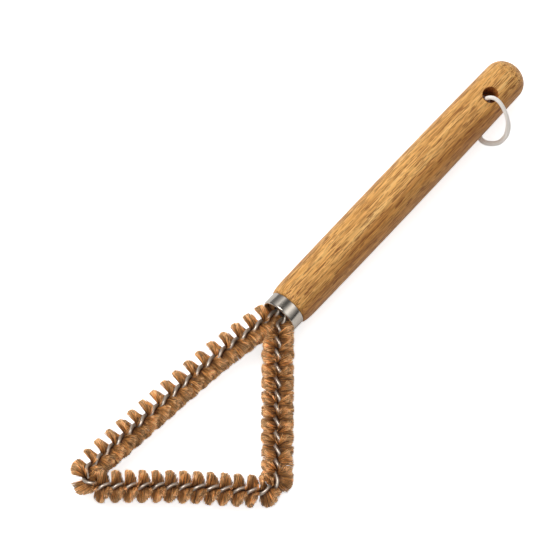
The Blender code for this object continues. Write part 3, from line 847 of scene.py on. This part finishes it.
def ferrule_mesh():
    """Band with a rolled front rim, a softened back edge and a real wall."""
    outer = FERRULE_RADIUS
    inner = outer - FERRULE_WALL
    edge = FERRULE_EDGE
    roll = (FERRULE_ROLL, outer - FERRULE_ROLL)
    profile = arc((FERRULE_LENGTH - edge, outer - edge), (edge, edge), 0, 90, 3)
    profile += arc(roll, (FERRULE_ROLL, FERRULE_ROLL), 90, 180, 10)
    hem = FERRULE_ROLL - FERRULE_WALL
    profile += arc(roll, (hem, hem), 180, 90, 5)
    profile += [(FERRULE_LENGTH, inner), profile[0]]
    return finish_mesh("ferrule_band", turned(profile, TURNED_SIDES, BRUSH), smooth_angle=40.0)


ferrule = ferrule_mesh()
print("ferrule faces:", len(ferrule.data.polygons))

# %% [markdown]
# ## Steel
#
# The ferrule and the wires are bare steel. One group makes the faint scratches and the
# cloudy rub marks that every handled steel has, and each material uses it with its own
# stretch: the ferrule's scratches run round the band, the wires' run every way. The marks
# also change the roughness a little, so that a highlight doesn't look like chrome.

# %% Steel finishes
def rubbed_steel_group():
    """Fine scratches and cloudy rub marks, from a position in millimetres."""
    inputs = {"Position": "Vector", "Stretch": "Vector"}
    outputs = {"Scratches": "Float", "Clouds": "Float"}
    tree, given, result = group_with("rubbed_steel", inputs, outputs)
    scaled = vector_node(tree, "MULTIPLY", given["Position"], given["Stretch"]).outputs[0]
    fine = noise(tree, scaled, 1.0, detail=5.0, roughness=0.7)
    cloudy = noise(tree, given["Position"], 0.32, detail=4.0, roughness=0.6)
    fill(tree, result, {"Scratches": fine, "Clouds": cloudy})
    return tree


RUBBED_STEEL = rubbed_steel_group()


def steel_material(name, light, dark, metallic, roughness, stretch, scratch):
    """Bare steel with its own scratch direction."""
    material, tree, shader = new_material(name, roughness, metallic)
    inputs = {"Position": brush_coordinates(tree), "Stretch": stretch}
    marks = add_node(tree, "ShaderNodeGroup", inputs, node_tree=RUBBED_STEEL).outputs
    inputs = {
        "Base Color": mix_colour(tree, "MIX", marks["Clouds"], dark, light),
        "Roughness": math_node(tree, "MULTIPLY_ADD", marks["Clouds"], 0.14, roughness - 0.07),
        "Normal": bump(tree, marks["Scratches"], scratch, 0.02 * MM),
    }
    fill(tree, shader, inputs)
    return material


BAND_STEEL = steel_material(
    "rubbed_band", (0.62, 0.565, 0.50), (0.46, 0.415, 0.36), 1.0, 0.17, (0.8, 6.0, 0.8), 0.35
)
WIRE_STEEL = steel_material(
    "drawn_wire", (0.66, 0.585, 0.50), (0.44, 0.375, 0.31), 0.75, 0.32, (4.0, 4.0, 4.0), 0.4
)
dress(ferrule, BAND_STEEL, "brush", "polished_steel", "ferrule")
print("steel ready")

# %% [markdown]
# ## Resin in the bore
#
# Behind the ferrule's rim the two stems stand in hardened resin. Its solid has the right
# shape already, so it stays and only gets a finish.

# %% Resin
def resin_material():
    """Dark hardened resin, uneven and half dull."""
    material, tree, shader = new_material("dark_resin", roughness=0.5)
    lumps = noise(tree, brush_coordinates(tree), 1.4, detail=4.0)
    tones = ramp(tree, lumps, (0.3, (0.018, 0.010, 0.006)), (0.7, (0.075, 0.042, 0.024)))
    fill(tree, shader, {"Base Color": tones, "Normal": bump(tree, lumps, 0.6, 0.3 * MM)})
    return material


resin = frame["nodes"]["socket_resin"]
resin.data.materials.clear()
resin.data.materials.append(resin_material())
print("resin finished")

# %% [markdown]
# ## The stem's centre line
#
# The whole head is one stem of two twisted wires: out of the bore, along the long row,
# round the sharp corner, along the base, round the blunt corner and back. Its centre line
# is a row of corners joined by arcs. Two of the corners are very slight, because the long
# row bows out and the base row bows in by a couple of millimetres.

# %% Stem: centre line
WIRE_DIAMETER = 1.8 * MM
NIP_GAP = 0.7 * MM
WIRE_OFFSET = (WIRE_DIAMETER + NIP_GAP) / 2
STEM_SPACING = 5.2 * MM
TAIL_END_Y = WOOD_RECESS + 21.0 * MM
ACUTE_CORNER = (-18.3 * MM, -135.2 * MM)
BLUNT_CORNER = (60.8 * MM, -71.5 * MM)
LEFT_EXIT = (-STEM_SPACING / 2, -0.5 * MM)
RIGHT_EXIT = (STEM_SPACING / 2, -3.5 * MM)


def way_between(start, end):
    """The direction from one corner of the stem to another."""
    return (Vector(end) - Vector(start)).normalized()


def beside(start, end, along, offset):
    """A place beside the straight line between two corners, to its left."""
    way = way_between(start, end)
    return tuple(Vector(start) + way * along + Vector((-way.y, way.x)) * offset)


LEFT_BOW = beside(LEFT_EXIT, ACUTE_CORNER, 32.5 * MM, -2.7 * MM)
BASE_BOW = beside(ACUTE_CORNER, BLUNT_CORNER, 53.5 * MM, 1.8 * MM)
STEM_CORNERS = (
    (-STEM_SPACING / 2, TAIL_END_Y),
    LEFT_EXIT,
    LEFT_BOW,
    ACUTE_CORNER,
    BASE_BOW,
    BLUNT_CORNER,
    RIGHT_EXIT,
    (STEM_SPACING / 2, TAIL_END_Y),
)
STEM_BENDS = (20.0 * MM, 400.0 * MM, 5.9 * MM, 340.0 * MM, 8.3 * MM, 5.0 * MM)


def stem_pieces():
    """Straight runs and arcs: where each begins, its start, way, length and curvature."""
    pieces = []
    run = 0.0
    corners = [Vector((x, y, 0)) for x, y in STEM_CORNERS]
    start = corners[0]
    for before, corner, after, bend in zip(corners, corners[1:], corners[2:], STEM_BENDS):
        into = (corner - before).normalized()
        away = (after - corner).normalized()
        angle = into.angle(away)
        setback = bend * math.tan(angle / 2)
        arc_start = corner - into * setback
        pieces.append((run, start, into, (arc_start - start).length, 0.0))
        run += (arc_start - start).length
        turn = math.copysign(1 / bend, into.cross(away).z)
        pieces.append((run, arc_start, into, bend * angle, turn))
        run += bend * angle
        start = corner + away * setback
    last = corners[-1] - start
    pieces.append((run, start, last.normalized(), last.length, 0.0))
    return pieces, run + last.length


PIECES, STEM_LENGTH = stem_pieces()
PIECE_STARTS = [piece[0] for piece in PIECES]
print("stem:", round(STEM_LENGTH * 1000, 1), "mm from end to end")

# %% [markdown]
# ## The twist
#
# The two wires wind round each other, left-handed, and the fibres stand in the gap
# between them. The pitch differs a little on each side of the triangle, and each corner
# opened the twist by a few degrees. One function gives the frame at any length along the
# stem: its middle, its direction, the way to the first wire and the way of the fibres.

# %% Stem: twist
LEFT_PITCH = 15.06 * MM
BASE_PITCH = 13.15 * MM
RIGHT_PITCH = 14.59 * MM
TWIST_START = math.radians(163.5)
ACUTE_SLIP = math.radians(20.0)
BLUNT_SLIP = math.radians(48.0)
ACUTE_ARC = PIECES[5]
BLUNT_ARC = PIECES[9]
ACUTE = ACUTE_ARC[0] + ACUTE_ARC[3] / 2
BLUNT = BLUNT_ARC[0] + BLUNT_ARC[3] / 2
RIM_STEP = 0.05 * MM


def share_passed(piece, along):
    """How much of a bend lies behind, from 0 to 1."""
    return min(1.0, max(0.0, (along - piece[0]) / piece[3]))


def twist(along):
    """Angle of the nip round the centre line."""
    turns = (min(along, ACUTE) - (TAIL_END_Y - LEFT_EXIT[1])) / LEFT_PITCH
    turns += max(0.0, min(along, BLUNT) - ACUTE) / BASE_PITCH
    turns += max(0.0, along - BLUNT) / RIGHT_PITCH
    slip = ACUTE_SLIP * share_passed(ACUTE_ARC, along)
    slip += BLUNT_SLIP * share_passed(BLUNT_ARC, along)
    return TWIST_START + slip - math.tau * turns


def stem_at(along):
    """Middle and direction of the stem, in the brush's own frame."""
    number = max(0, int(np.searchsorted(PIECE_STARTS, along, side="right")) - 1)
    begin, start, way, _, curvature = PIECES[number]
    travelled = along - begin
    if not curvature:
        return start + way * travelled, way.copy()
    sweep_angle = curvature * travelled
    normal = UP.cross(way)
    bent = way * math.sin(sweep_angle) + normal * (1 - math.cos(sweep_angle))
    return start + bent / curvature, Matrix.Rotation(sweep_angle, 3, "Z") @ way


def stem_frame(along):
    """Middle, direction, way to the first wire and way of the fibres."""
    middle, way = stem_at(along)
    turn = twist(along)
    to_wire = UP.cross(way) * math.cos(turn) + UP * math.sin(turn)
    return middle, way, to_wire, way.cross(to_wire)


def where_rim_is_passed(along, step, clearance):
    """Length along the stem where it has come clear of the ferrule's rim."""
    while stem_at(along)[0].y > -clearance:
        along += step
    return along


FIRST = where_rim_is_passed(0.0, RIM_STEP, clearance=1.0 * MM)
LAST = where_rim_is_passed(STEM_LENGTH, -RIM_STEP, clearance=2.5 * MM)
print("rows run from", round(FIRST * 1000, 1), "to", round(LAST * 1000, 1), "mm")

# %% [markdown]
# ## The two wires
#
# A wire is a line with a thickness, so a curve with a round bevel makes it. Its points
# stand half a millimetre apart on the helix, which keeps the bends smooth.

# %% Wires
WIRE_STEP = 0.5 * MM
WIRES = (("twisted_wire_a", 1, "wire_strand_a"), ("twisted_wire_b", -1, "wire_strand_b"))


def wire_curve(name, side):
    """One wire, half a turn of the helix away from the other."""
    curve = bpy.data.curves.new(name, "CURVE")
    curve.dimensions = "3D"
    curve.bevel_depth = WIRE_DIAMETER / 2
    curve.bevel_resolution = 4
    curve.use_fill_caps = True
    count = round(STEM_LENGTH / WIRE_STEP)
    spline = curve.splines.new("POLY")
    spline.points.add(count)
    for number, slot in enumerate(spline.points):
        middle, _, to_wire, _ = stem_frame(STEM_LENGTH * number / count)
        slot.co = (*(BRUSH @ (middle + to_wire * side * WIRE_OFFSET)), 1.0)
    spline.use_smooth = True
    return add_object(name, curve)


for name, side, node in WIRES:
    dress(wire_curve(name, side), WIRE_STEEL, "brush", "wire_steel", node)
print("wires wound")

# %% [markdown]
# ## One bristle
#
# The rows hold thousands of fibres, so one fibre is modelled once and repeated. It is a
# three-sided cone: thick at the nip, thinner at both tips, because one fibre passes right
# through the nip and shows on both sides. One cut across each half gives it a joint to
# bend at. Three sides are enough: at this size nobody sees the corners.

# %% Bristle: one fibre
FIBRE_DIAMETER = 0.28 * MM
FIBRE_JOINT = 0.3


def fibre_template():
    """Points and faces of one fibre of length 2, along Z, with its middle at the nip."""
    bm = bmesh.new()
    for half in (1, -1):
        made = bmesh.ops.create_cone(
            bm,
            cap_ends=True,
            segments=3,
            radius1=0.5,
            radius2=0.34,
            depth=1.0,
            matrix=Matrix.Translation((0, 0, 0.5)),
        )["verts"]
        if half < 0:
            bmesh.ops.scale(bm, verts=made, vec=(1, 1, -1))
    bmesh.ops.remove_doubles(bm, verts=bm.verts, dist=1e-5)
    middle = [face for face in bm.faces if all(abs(vert.co.z) < 1e-6 for vert in face.verts)]
    bmesh.ops.delete(bm, geom=middle, context="FACES_ONLY")
    for joint in (-FIBRE_JOINT, FIBRE_JOINT):
        everything = bm.verts[:] + bm.edges[:] + bm.faces[:]
        bmesh.ops.bisect_plane(bm, geom=everything, plane_co=(0, 0, joint), plane_no=(0, 0, 1))
    bmesh.ops.recalc_face_normals(bm, faces=bm.faces)
    bmesh.ops.triangulate(bm, faces=bm.faces)
    points = np.array([vert.co[:] for vert in bm.verts])
    faces = np.array([[vert.index for vert in face.verts] for face in bm.faces])
    bm.free()
    return points, faces


FIBRE_POINTS, FIBRE_FACES = fibre_template()
print("one fibre:", len(FIBRE_POINTS), "points,", len(FIBRE_FACES), "triangles")

# %% [markdown]
# ## Where the fibres are stopped
#
# Inside the triangle the rows meet at each corner and in front of the ferrule, and fibres
# from both sides press on each other. A fibre that would cross the plane between two rows
# is cut short about half a millimetre behind it. On the outside nothing stops them, so a
# corner keeps its full brush. The ferrule's rim is a fourth plane, for every fibre.

# %% Bristles: the planes
BRISTLE_RADIUS = 8.15 * MM
RIM_CLEARANCE = 0.15 * MM
FLOOR_CLEARANCE = 0.03 * MM


def plane(point, normal):
    """A plane's point and its unit normal, as arrays."""
    return np.array([*point, 0.0]), np.array([*normal.normalized(), 0.0])


LEFT_WAY = way_between(LEFT_EXIT, LEFT_BOW)
RIGHT_WAY = way_between(RIGHT_EXIT, BLUNT_CORNER)
HANDLE_PLANE = plane((0.0, 0.0), RIGHT_WAY - LEFT_WAY)
ACUTE_PLANE = plane(
    ACUTE_CORNER, way_between(LEFT_BOW, ACUTE_CORNER) + way_between(ACUTE_CORNER, BASE_BOW)
)
BLUNT_PLANE = plane(
    BLUNT_CORNER, way_between(BASE_BOW, BLUNT_CORNER) + way_between(BLUNT_CORNER, RIGHT_EXIT)
)
RIM_PLANE = plane((0.0, -RIM_CLEARANCE), Vector((0.0, 1.0)))


def room_along(starts, ways, plane_point, plane_normal):
    """How far each fibre can run before it meets a plane, as seen from its own side."""
    height = (starts - plane_point) @ plane_normal
    closing = -(ways @ plane_normal) * np.sign(height)
    return np.where(closing > 1e-6, np.abs(height) / np.maximum(closing, 1e-6), np.inf)


print("planes:", [np.round(each[1], 3) for each in (ACUTE_PLANE, BLUNT_PLANE, HANDLE_PLANE)])

# %% [markdown]
# ## Fibres in the nip
#
# A row starts with where its fibres are nipped. They stick together in tufts of five: a
# tuft has a place along the stem and across the nip, and its fibres stray a little from
# it. Close to the ferrule, where two stems run side by side, the fibres crowd each other,
# and at a bend they open or gather, so each fibre also notes how close it is to these.

# %% Bristles: in the nip
FIBRES_PER_MM = 70
FIBRES_IN_TUFT = 5
TUFT_SPREAD = 0.20 * MM
TUFT_LEAN = 0.035
NIP_TURN = 0.14
NIP_SHARE = 0.4
CROWDED = 16.0 * MM
CORNER_REACH = 6.0 * MM
BLUNT_REACH = 1.5 * CORNER_REACH


def nipped_fibres(begin, end, generator):
    """Where each fibre of a row leaves the nip, with the stem's frame there."""
    count = int((end - begin) * 1000 * FIBRES_PER_MM)
    tufts = count // FIBRES_IN_TUFT
    tuft = generator.integers(0, tufts, count)
    places = generator.uniform(begin, end, tufts)[tuft] + generator.normal(0.0, TUFT_SPREAD, count)
    places = np.clip(places, begin, end)
    frames = [stem_frame(place) for place in places]
    middles, ways, to_wire, to_tip = (np.array(list(part)) for part in zip(*frames))
    across = generator.uniform(-1.0, 1.0, tufts)[tuft]
    return SimpleNamespace(
        count=count,
        tufts=tufts,
        tuft=tuft,
        places=places,
        ways=ways,
        to_wire=to_wire,
        to_tip=to_tip,
        inside=np.cross(np.array(UP), ways),
        starts=middles + to_wire * (across * NIP_GAP * NIP_SHARE)[:, None],
        turn=across * NIP_TURN + generator.normal(0.0, TUFT_LEAN, count),
        crowd=np.clip(1.0 + middles[:, 1] / CROWDED, 0.0, 1.0),
        at_acute=np.exp(-(((places - ACUTE) / CORNER_REACH) ** 2)),
        at_blunt=np.exp(-(((places - BLUNT) / BLUNT_REACH) ** 2)),
    )


print("a row has", FIBRES_PER_MM * 10, "fibres in each centimetre")

# %% [markdown]
# ## The fan of a row
#
# Left alone, the fibres of a twisted brush stand out all round in two spirals. On this
# brush they don't: it has been bent, packed and used, so on each side of the stem the
# half turn's fibres are gathered into one tongue and pressed flat towards the table's
# plane. That could be sculpted tongue by tongue. A rule for one fibre does it for all: its
# height in the spiral says how far it stands from its tongue's middle, and it leans back
# by a share of that, with a stray of its own. Four numbers for each side of a row say how
# wide a tongue stays, how far its tufts stray, and how far the upper and the lower fibres
# are pressed down. The tips stand on a round section, as trimmed, with a little scatter.

# %% Bristles: the fan
SIDE_SCATTER = 0.08
CROWDED_STRAY = 0.25
ACUTE_SWEEP = 0.35
BLUNT_GATHER = 0.75
BLUNT_CALM = 0.8
LEAST_PRESS = 0.65
PRESSED_SHARE = 0.84
TRIM = 1.03
TUFT_RAGGED = 0.045
FIBRE_RAGGED = 0.035
PLANE_OVERLAP = 0.6 * MM
PLANE_SCATTER = 0.3 * MM
SHORTEST_FIBRE = 0.6 * MM


def fan_out(fibres, side, pitch, planes, habits, generator):
    """Direction, reach, lean, height and gathering of the fibres' ends on one side."""
    count, tufts, tuft = fibres.count, fibres.tufts, fibres.tuft
    aim = (fibres.to_tip + fibres.to_wire * fibres.turn[:, None]) * side
    inward = np.sum(aim * fibres.inside, axis=1)
    facing = np.sign(inward + generator.normal(0.0, SIDE_SCATTER, tufts)[tuft])
    outer = facing < 0
    height = np.arctan2(aim[:, 2], inward * facing)
    width, stray, above, below = np.where(facing[:, None] > 0, habits[0], habits[1]).T
    width = width - BLUNT_GATHER * fibres.at_blunt * outer
    stray = stray + CROWDED_STRAY * fibres.crowd
    stray = stray * (1.0 - BLUNT_CALM * fibres.at_blunt * outer)
    gathered = facing * height * pitch / (math.tau * BRISTLE_RADIUS) * (1.0 - width)
    lean = gathered + generator.uniform(-1.0, 1.0, tufts)[tuft] * stray
    lean += generator.normal(0.0, TUFT_LEAN, count)
    lean -= ACUTE_SWEEP * fibres.at_acute * outer
    press = np.where(height > 0, above, below) * generator.uniform(LEAST_PRESS, 1.0, tufts)[tuft]
    height *= 1.0 - press * (generator.uniform(size=tufts) < PRESSED_SHARE)[tuft]
    aim = fibres.inside * (facing * np.cos(height))[:, None]
    aim += np.array(UP) * np.sin(height)[:, None] + fibres.ways * lean[:, None]
    aim /= np.linalg.norm(aim, axis=1)[:, None]
    ragged = np.abs(generator.normal(0.0, TUFT_RAGGED, tufts))[tuft]
    ragged += np.abs(generator.normal(0.0, FIBRE_RAGGED, count))
    reach = BRISTLE_RADIUS * (TRIM - ragged)
    for point, normal in planes:
        overlap = generator.normal(PLANE_OVERLAP, PLANE_SCATTER, count)
        room = room_along(fibres.starts, aim, point, normal) + overlap
        reach = np.where(outer, reach, np.minimum(reach, room))
    reach = np.minimum(reach, room_along(fibres.starts, aim, *RIM_PLANE))
    return aim, np.maximum(reach, SHORTEST_FIBRE), lean, height * side, gathered


print("a tongue of fibres stands on every", round(LEFT_PITCH / 2 / MM, 1), "mm of the long row")

# %% [markdown]
# ## The mesh of a row
#
# Each fibre bends early, close to the wires, and bows a little after that. The whole row
# is one mesh made at once from arrays, which is far faster than thousands of objects.
# Three attributes go with it for the finish: how far along its fibre a point is, a tint
# for each fibre, and its combed place, where neighbours in a tongue lie side by side.

# %% Bristles: the rows
FIBRE_BOW = 0.35 * MM
COMBED_LENGTH = 0.2


def bent_points(fibres, ends, generator):
    """Every fibre's points, how far along it they are, and their combed places."""
    bow = generator.normal(0.0, FIBRE_BOW, fibres.count)
    points, along, comb = [], [], []
    for x, y, station in FIBRE_POINTS:
        aim, reach, lean, height, gathered = ends[0] if station >= 0 else ends[1]
        share = abs(station)
        early = gathered * reach * (1.0 - (1.0 - share) ** 3 - share)
        spine = fibres.starts + aim * (reach * share)[:, None]
        spine += fibres.ways * (early + bow * share * share)[:, None]
        points.append(spine + (fibres.to_wire * x + fibres.ways * y) * FIBRE_DIAMETER)
        along.append(share * reach / BRISTLE_RADIUS)
        sideways = fibres.places + lean * reach
        combed = (sideways, height * BRISTLE_RADIUS, reach * share * COMBED_LENGTH)
        comb.append(np.stack(combed, axis=1))
    return [np.stack(rows, axis=1) for rows in (points, along, comb)]


def triangle_mesh(name, points, faces):
    """A mesh from an array of points and one of triangles."""
    mesh = bpy.data.meshes.new(name)
    mesh.vertices.add(len(points))
    mesh.vertices.foreach_set("co", points.ravel())
    mesh.loops.add(faces.size)
    mesh.loops.foreach_set("vertex_index", faces.ravel())
    mesh.polygons.add(len(faces))
    mesh.polygons.foreach_set("loop_start", np.arange(0, faces.size, 3))
    mesh.update(calc_edges=True)
    mesh.validate()
    mesh.shade_smooth()
    return mesh


def bristle_row(name, begin, end, pitch, planes, habits, seed):
    """Fibres of one row, from one length along the stem to another."""
    generator = np.random.default_rng(seed)
    fibres = nipped_fibres(begin, end, generator)
    ends = [fan_out(fibres, side, pitch, planes, habits, generator) for side in (1, -1)]
    points, along, comb = bent_points(fibres, ends, generator)
    tint = 0.5 * generator.uniform(size=fibres.tufts)[fibres.tuft]
    tint += 0.5 * generator.uniform(size=fibres.count)
    place = np.array(BRUSH)
    points = points.reshape(-1, 3) @ place[:3, :3].T + place[:3, 3]
    points[:, 2] = np.maximum(points[:, 2], FLOOR_CLEARANCE)
    firsts = np.arange(fibres.count)[:, None, None] * len(FIBRE_POINTS)
    faces = (FIBRE_FACES[None] + firsts).reshape(-1, 3)
    mesh = triangle_mesh(name, points, faces)
    for label, values in (("along", along.ravel()), ("tint", np.repeat(tint, len(FIBRE_POINTS)))):
        mesh.attributes.new(label, "FLOAT", "POINT").data.foreach_set("value", values)
    mesh.attributes.new("comb", "FLOAT_VECTOR", "POINT").data.foreach_set("vector", comb.ravel())
    print(name, fibres.count, "fibres,", len(faces), "triangles")
    return add_object(name, mesh)


print("rows can be made")

# %% [markdown]
# ## Tan fibre
#
# The fibres are a stiff plant fibre or hair, tan with a lighter tip, and painted darker
# towards the root as shade where the light doesn't reach between them. Each fibre has its
# own tint, and darker and lighter strands run through a tongue as they do through combed
# hair, from a noise on the combed place. The rows differ in their pitch, in the planes that
# stop them and in their habits: the long row's outer tongues stand apart, the base row's
# are even, and the right row is fluffed up.

# %% Bristle finish
# Colour along a fibre: painted shade at the root, where the fibres shade each other, then tan to a
# paler tip.
FIBRE_TONES_WITH_ROOT_SHADE = (
    (0.04, (0.045, 0.018, 0.006)),
    (0.14, (0.22, 0.085, 0.024)),
    (0.34, (0.52, 0.235, 0.068)),
    (0.65, (0.77, 0.375, 0.120)),
    (1.0, (1.0, 0.605, 0.290)),
)
OWN_TINTS = ((0.1, (0.32, 0.28, 0.25)), (0.5, 0.90), (0.9, (1.70, 1.68, 1.62)))


def fibre_material():
    """Tan fibre with painted shade at its root, paler at its tip, each with its own tint."""
    material, tree, shader = new_material("tan_fibre", roughness=0.5)
    along, tint, comb = (
        add_node(tree, "ShaderNodeAttribute", attribute_name=label).outputs[output]
        for label, output in (("along", "Fac"), ("tint", "Fac"), ("comb", "Vector"))
    )
    strands = ramp(tree, noise(tree, comb, 900.0), (0.36, 0.45), (0.5, 0.9), (0.64, 1.5))
    colour = mix_colour(tree, "MULTIPLY", 1.0, ramp(tree, along, *FIBRE_TONES_WITH_ROOT_SHADE), strands)
    colour = mix_colour(tree, "MULTIPLY", 1.0, colour, ramp(tree, tint, *OWN_TINTS))
    grain = noise(tree, brush_coordinates(tree), 3.0)
    rough = math_node(tree, "MULTIPLY_ADD", grain, 0.2, 0.36)
    fill(tree, shader, {"Base Color": colour, "Roughness": rough})
    return material


TAN_FIBRE = fibre_material()
LOOSE = ((1.50, 0.16, 0.75, 0.50), (0.55, 0.05, 0.84, 0.84))
EVEN = ((0.72, 0.05, 0.60, 0.60), (1.15, 0.08, 0.50, 0.20))
FLUFFY = ((1.50, 0.32, 0.60, 0.50), (1.25, 0.22, 0.60, 0.20))
ROWS = (
    ("bristles_left", FIRST, ACUTE, LEFT_PITCH, (HANDLE_PLANE, ACUTE_PLANE), LOOSE),
    ("bristles_base", ACUTE, BLUNT, BASE_PITCH, (ACUTE_PLANE, BLUNT_PLANE), EVEN),
    ("bristles_right", BLUNT, LAST, RIGHT_PITCH, (BLUNT_PLANE, HANDLE_PLANE), FLUFFY),
)
for number, (node, begin, end, pitch, planes, habits) in enumerate(ROWS):
    middle = (begin + end) / 2
    for half, (start, stop) in enumerate(((begin, middle), (middle, end))):
        seed = 11 + 2 * number + half
        row = bristle_row(f"{node}_{'ab'[half]}", start, stop, pitch, planes, habits, seed)
        dress(row, TAN_FIBRE, "brush", "tan_bristle", node)

# %% [markdown]
# ## Floor, light and sky
#
# The brush lies on a pale floor that fades into a white background. The floor is a real
# surface, so it takes the soft shadow. The camera sees the sky and the floor's own faint
# glow as white. The light on the object is a plain grey sky, brighter from the picture's
# left, with one soft lamp from the upper left.

# %% Stage
FLOOR_GREY = (0.80, 0.80, 0.80)
FLOOR_GLOW = (0.68, 0.68, 0.68)
GLOW_MIRRORED = 0.15


def floor_material():
    """A pale floor that stays near white where nothing shades it."""
    material, tree, shader = new_material("pale_floor", roughness=0.6)
    paths = add_node(tree, "ShaderNodeLightPath").outputs
    mirrored = math_node(tree, "MULTIPLY", paths["Is Glossy Ray"], GLOW_MIRRORED)
    seen = math_node(tree, "MAXIMUM", paths["Is Camera Ray"], mirrored)
    seen = math_node(tree, "MAXIMUM", seen, paths["Is Transmission Ray"])
    glow = mix_colour(tree, "MIX", seen, (0.0, 0.0, 0.0), FLOOR_GLOW)
    inputs = {"Base Color": (*FLOOR_GREY, 1.0), "Emission Color": glow, "Emission Strength": 1.0}
    fill(tree, shader, inputs)
    return material


def add_floor():
    """A wide sheet under the brush."""
    bm = bmesh.new()
    bmesh.ops.create_grid(bm, x_segments=2, y_segments=2, size=30.0)
    floor = finish_mesh("floor", bm)
    floor.data.materials.append(floor_material())


add_floor()
print("floor laid")

# %% [markdown]
# ## What the metal mirrors
#
# Steel shows the room and not its own colour, so the world has a second picture that only
# glossy rays see. The ferrule is a cylinder, and its bright and dark bands are strips of
# the studio along its length: panels, the dark between them, and the table's edge. They
# are greys that blend over the angle round the handle's axis. One small lamp overhead gives the
# wires their short bright glints, and is kept out of the ferrule's view.

# %% World and lamps
STUDIO_STRIPS = (
    (-150, 0.55),
    (-92, 0.19),
    (-66, 0.28),
    (-50, 0.66),
    (-38, 1.20),
    (-25, 0.36),
    (-12, 0.13),
    (0, 0.15),
    (11, 0.48),
    (26, 1.50),
    (36, 1.65),
    (48, 0.95),
    (62, 0.42),
    (74, 0.18),
    (88, 0.04),
    (112, 0.62),
)
STUDIO_DOME = ((-90, 0.95), (12, 0.95), (48, 0.36), (90, 0.36))
OVERHEAD = Vector((-0.221, -0.097, 0.971))
OVERHEAD_STRENGTH = 9.0


def studio_world():
    """Soft light from the picture's left, strips for the metal, white for the camera."""
    world = bpy.data.worlds.new("studio")
    world.use_nodes = True
    bpy.context.scene.world = world
    tree = world.node_tree
    tree.nodes.clear()
    paths = add_node(tree, "ShaderNodeLightPath").outputs
    way = add_node(tree, "ShaderNodeTexCoord").outputs["Generated"]
    turn = BRUSH.to_3x3()
    sideways, forward, upwards = (direction_share(tree, way, axis) for axis in turn.col)
    angle = math_node(tree, "ARCTAN2", sideways, upwards)
    place = math_node(tree, "MULTIPLY_ADD", angle, 0.5 / math.pi, 0.5)
    strips, dome = (
        ramp(tree, place, *((0.5 + degrees / 360, grey) for degrees, grey in steps))
        for steps in (STUDIO_STRIPS, STUDIO_DOME)
    )
    forward = math_node(tree, "MULTIPLY_ADD", forward, 0.5, 0.5)
    reach = ramp(tree, forward, (0.46, 0.6), (0.56, 1.0), (0.78, 1.0), (0.9, 0.5))
    strips = mix_colour(tree, "MULTIPLY", 1.0, strips, reach)
    overhead = direction_share(tree, way, turn @ OVERHEAD)
    lamp = ramp(tree, overhead, (0.95, 0.0), (0.985, 1.0))
    off_ferrule = ramp(tree, forward, (0.50, 1.0), (0.58, 0.0))
    lamp = mix_colour(tree, "MULTIPLY", 1.0, lamp, off_ferrule)
    lamp = math_node(tree, "MULTIPLY", lamp, OVERHEAD_STRENGTH)
    mirrored = mix_colour(tree, "ADD", 1.0, strips, lamp)
    light = mix_colour(tree, "MIX", paths["Is Glossy Ray"], dome, mirrored)
    sky = mix_colour(tree, "MIX", paths["Is Camera Ray"], light, (1.0, 1.0, 1.0))
    background = add_node(tree, "ShaderNodeBackground", {"Color": sky, "Strength": 1.0})
    add_node(tree, "ShaderNodeOutputWorld", {"Surface": background.outputs[0]})


def add_lamp(name, way, distance, size, watts):
    """A soft square lamp that looks at the brush from a direction of the picture."""
    data = bpy.data.lights.new(name, "AREA")
    data.shape = "SQUARE"
    data.size = size
    data.energy = watts
    lamp = add_object(name, data)
    lamp.visible_glossy = False
    aim = (VIEW_RIGHT * way[0] + VIEW_UP * way[1] + VIEW_BACK * way[2]).normalized()
    turn = aim.to_track_quat("Z", "Y").to_matrix().to_4x4()
    lamp.matrix_world = Matrix.Translation(aim * distance) @ turn


studio_world()
add_lamp("key", way=(-0.75, 0.75, 0.9), distance=1.2, size=0.7, watts=4.0)
bpy.context.scene.view_settings.view_transform = "Standard"
print("lamps set")
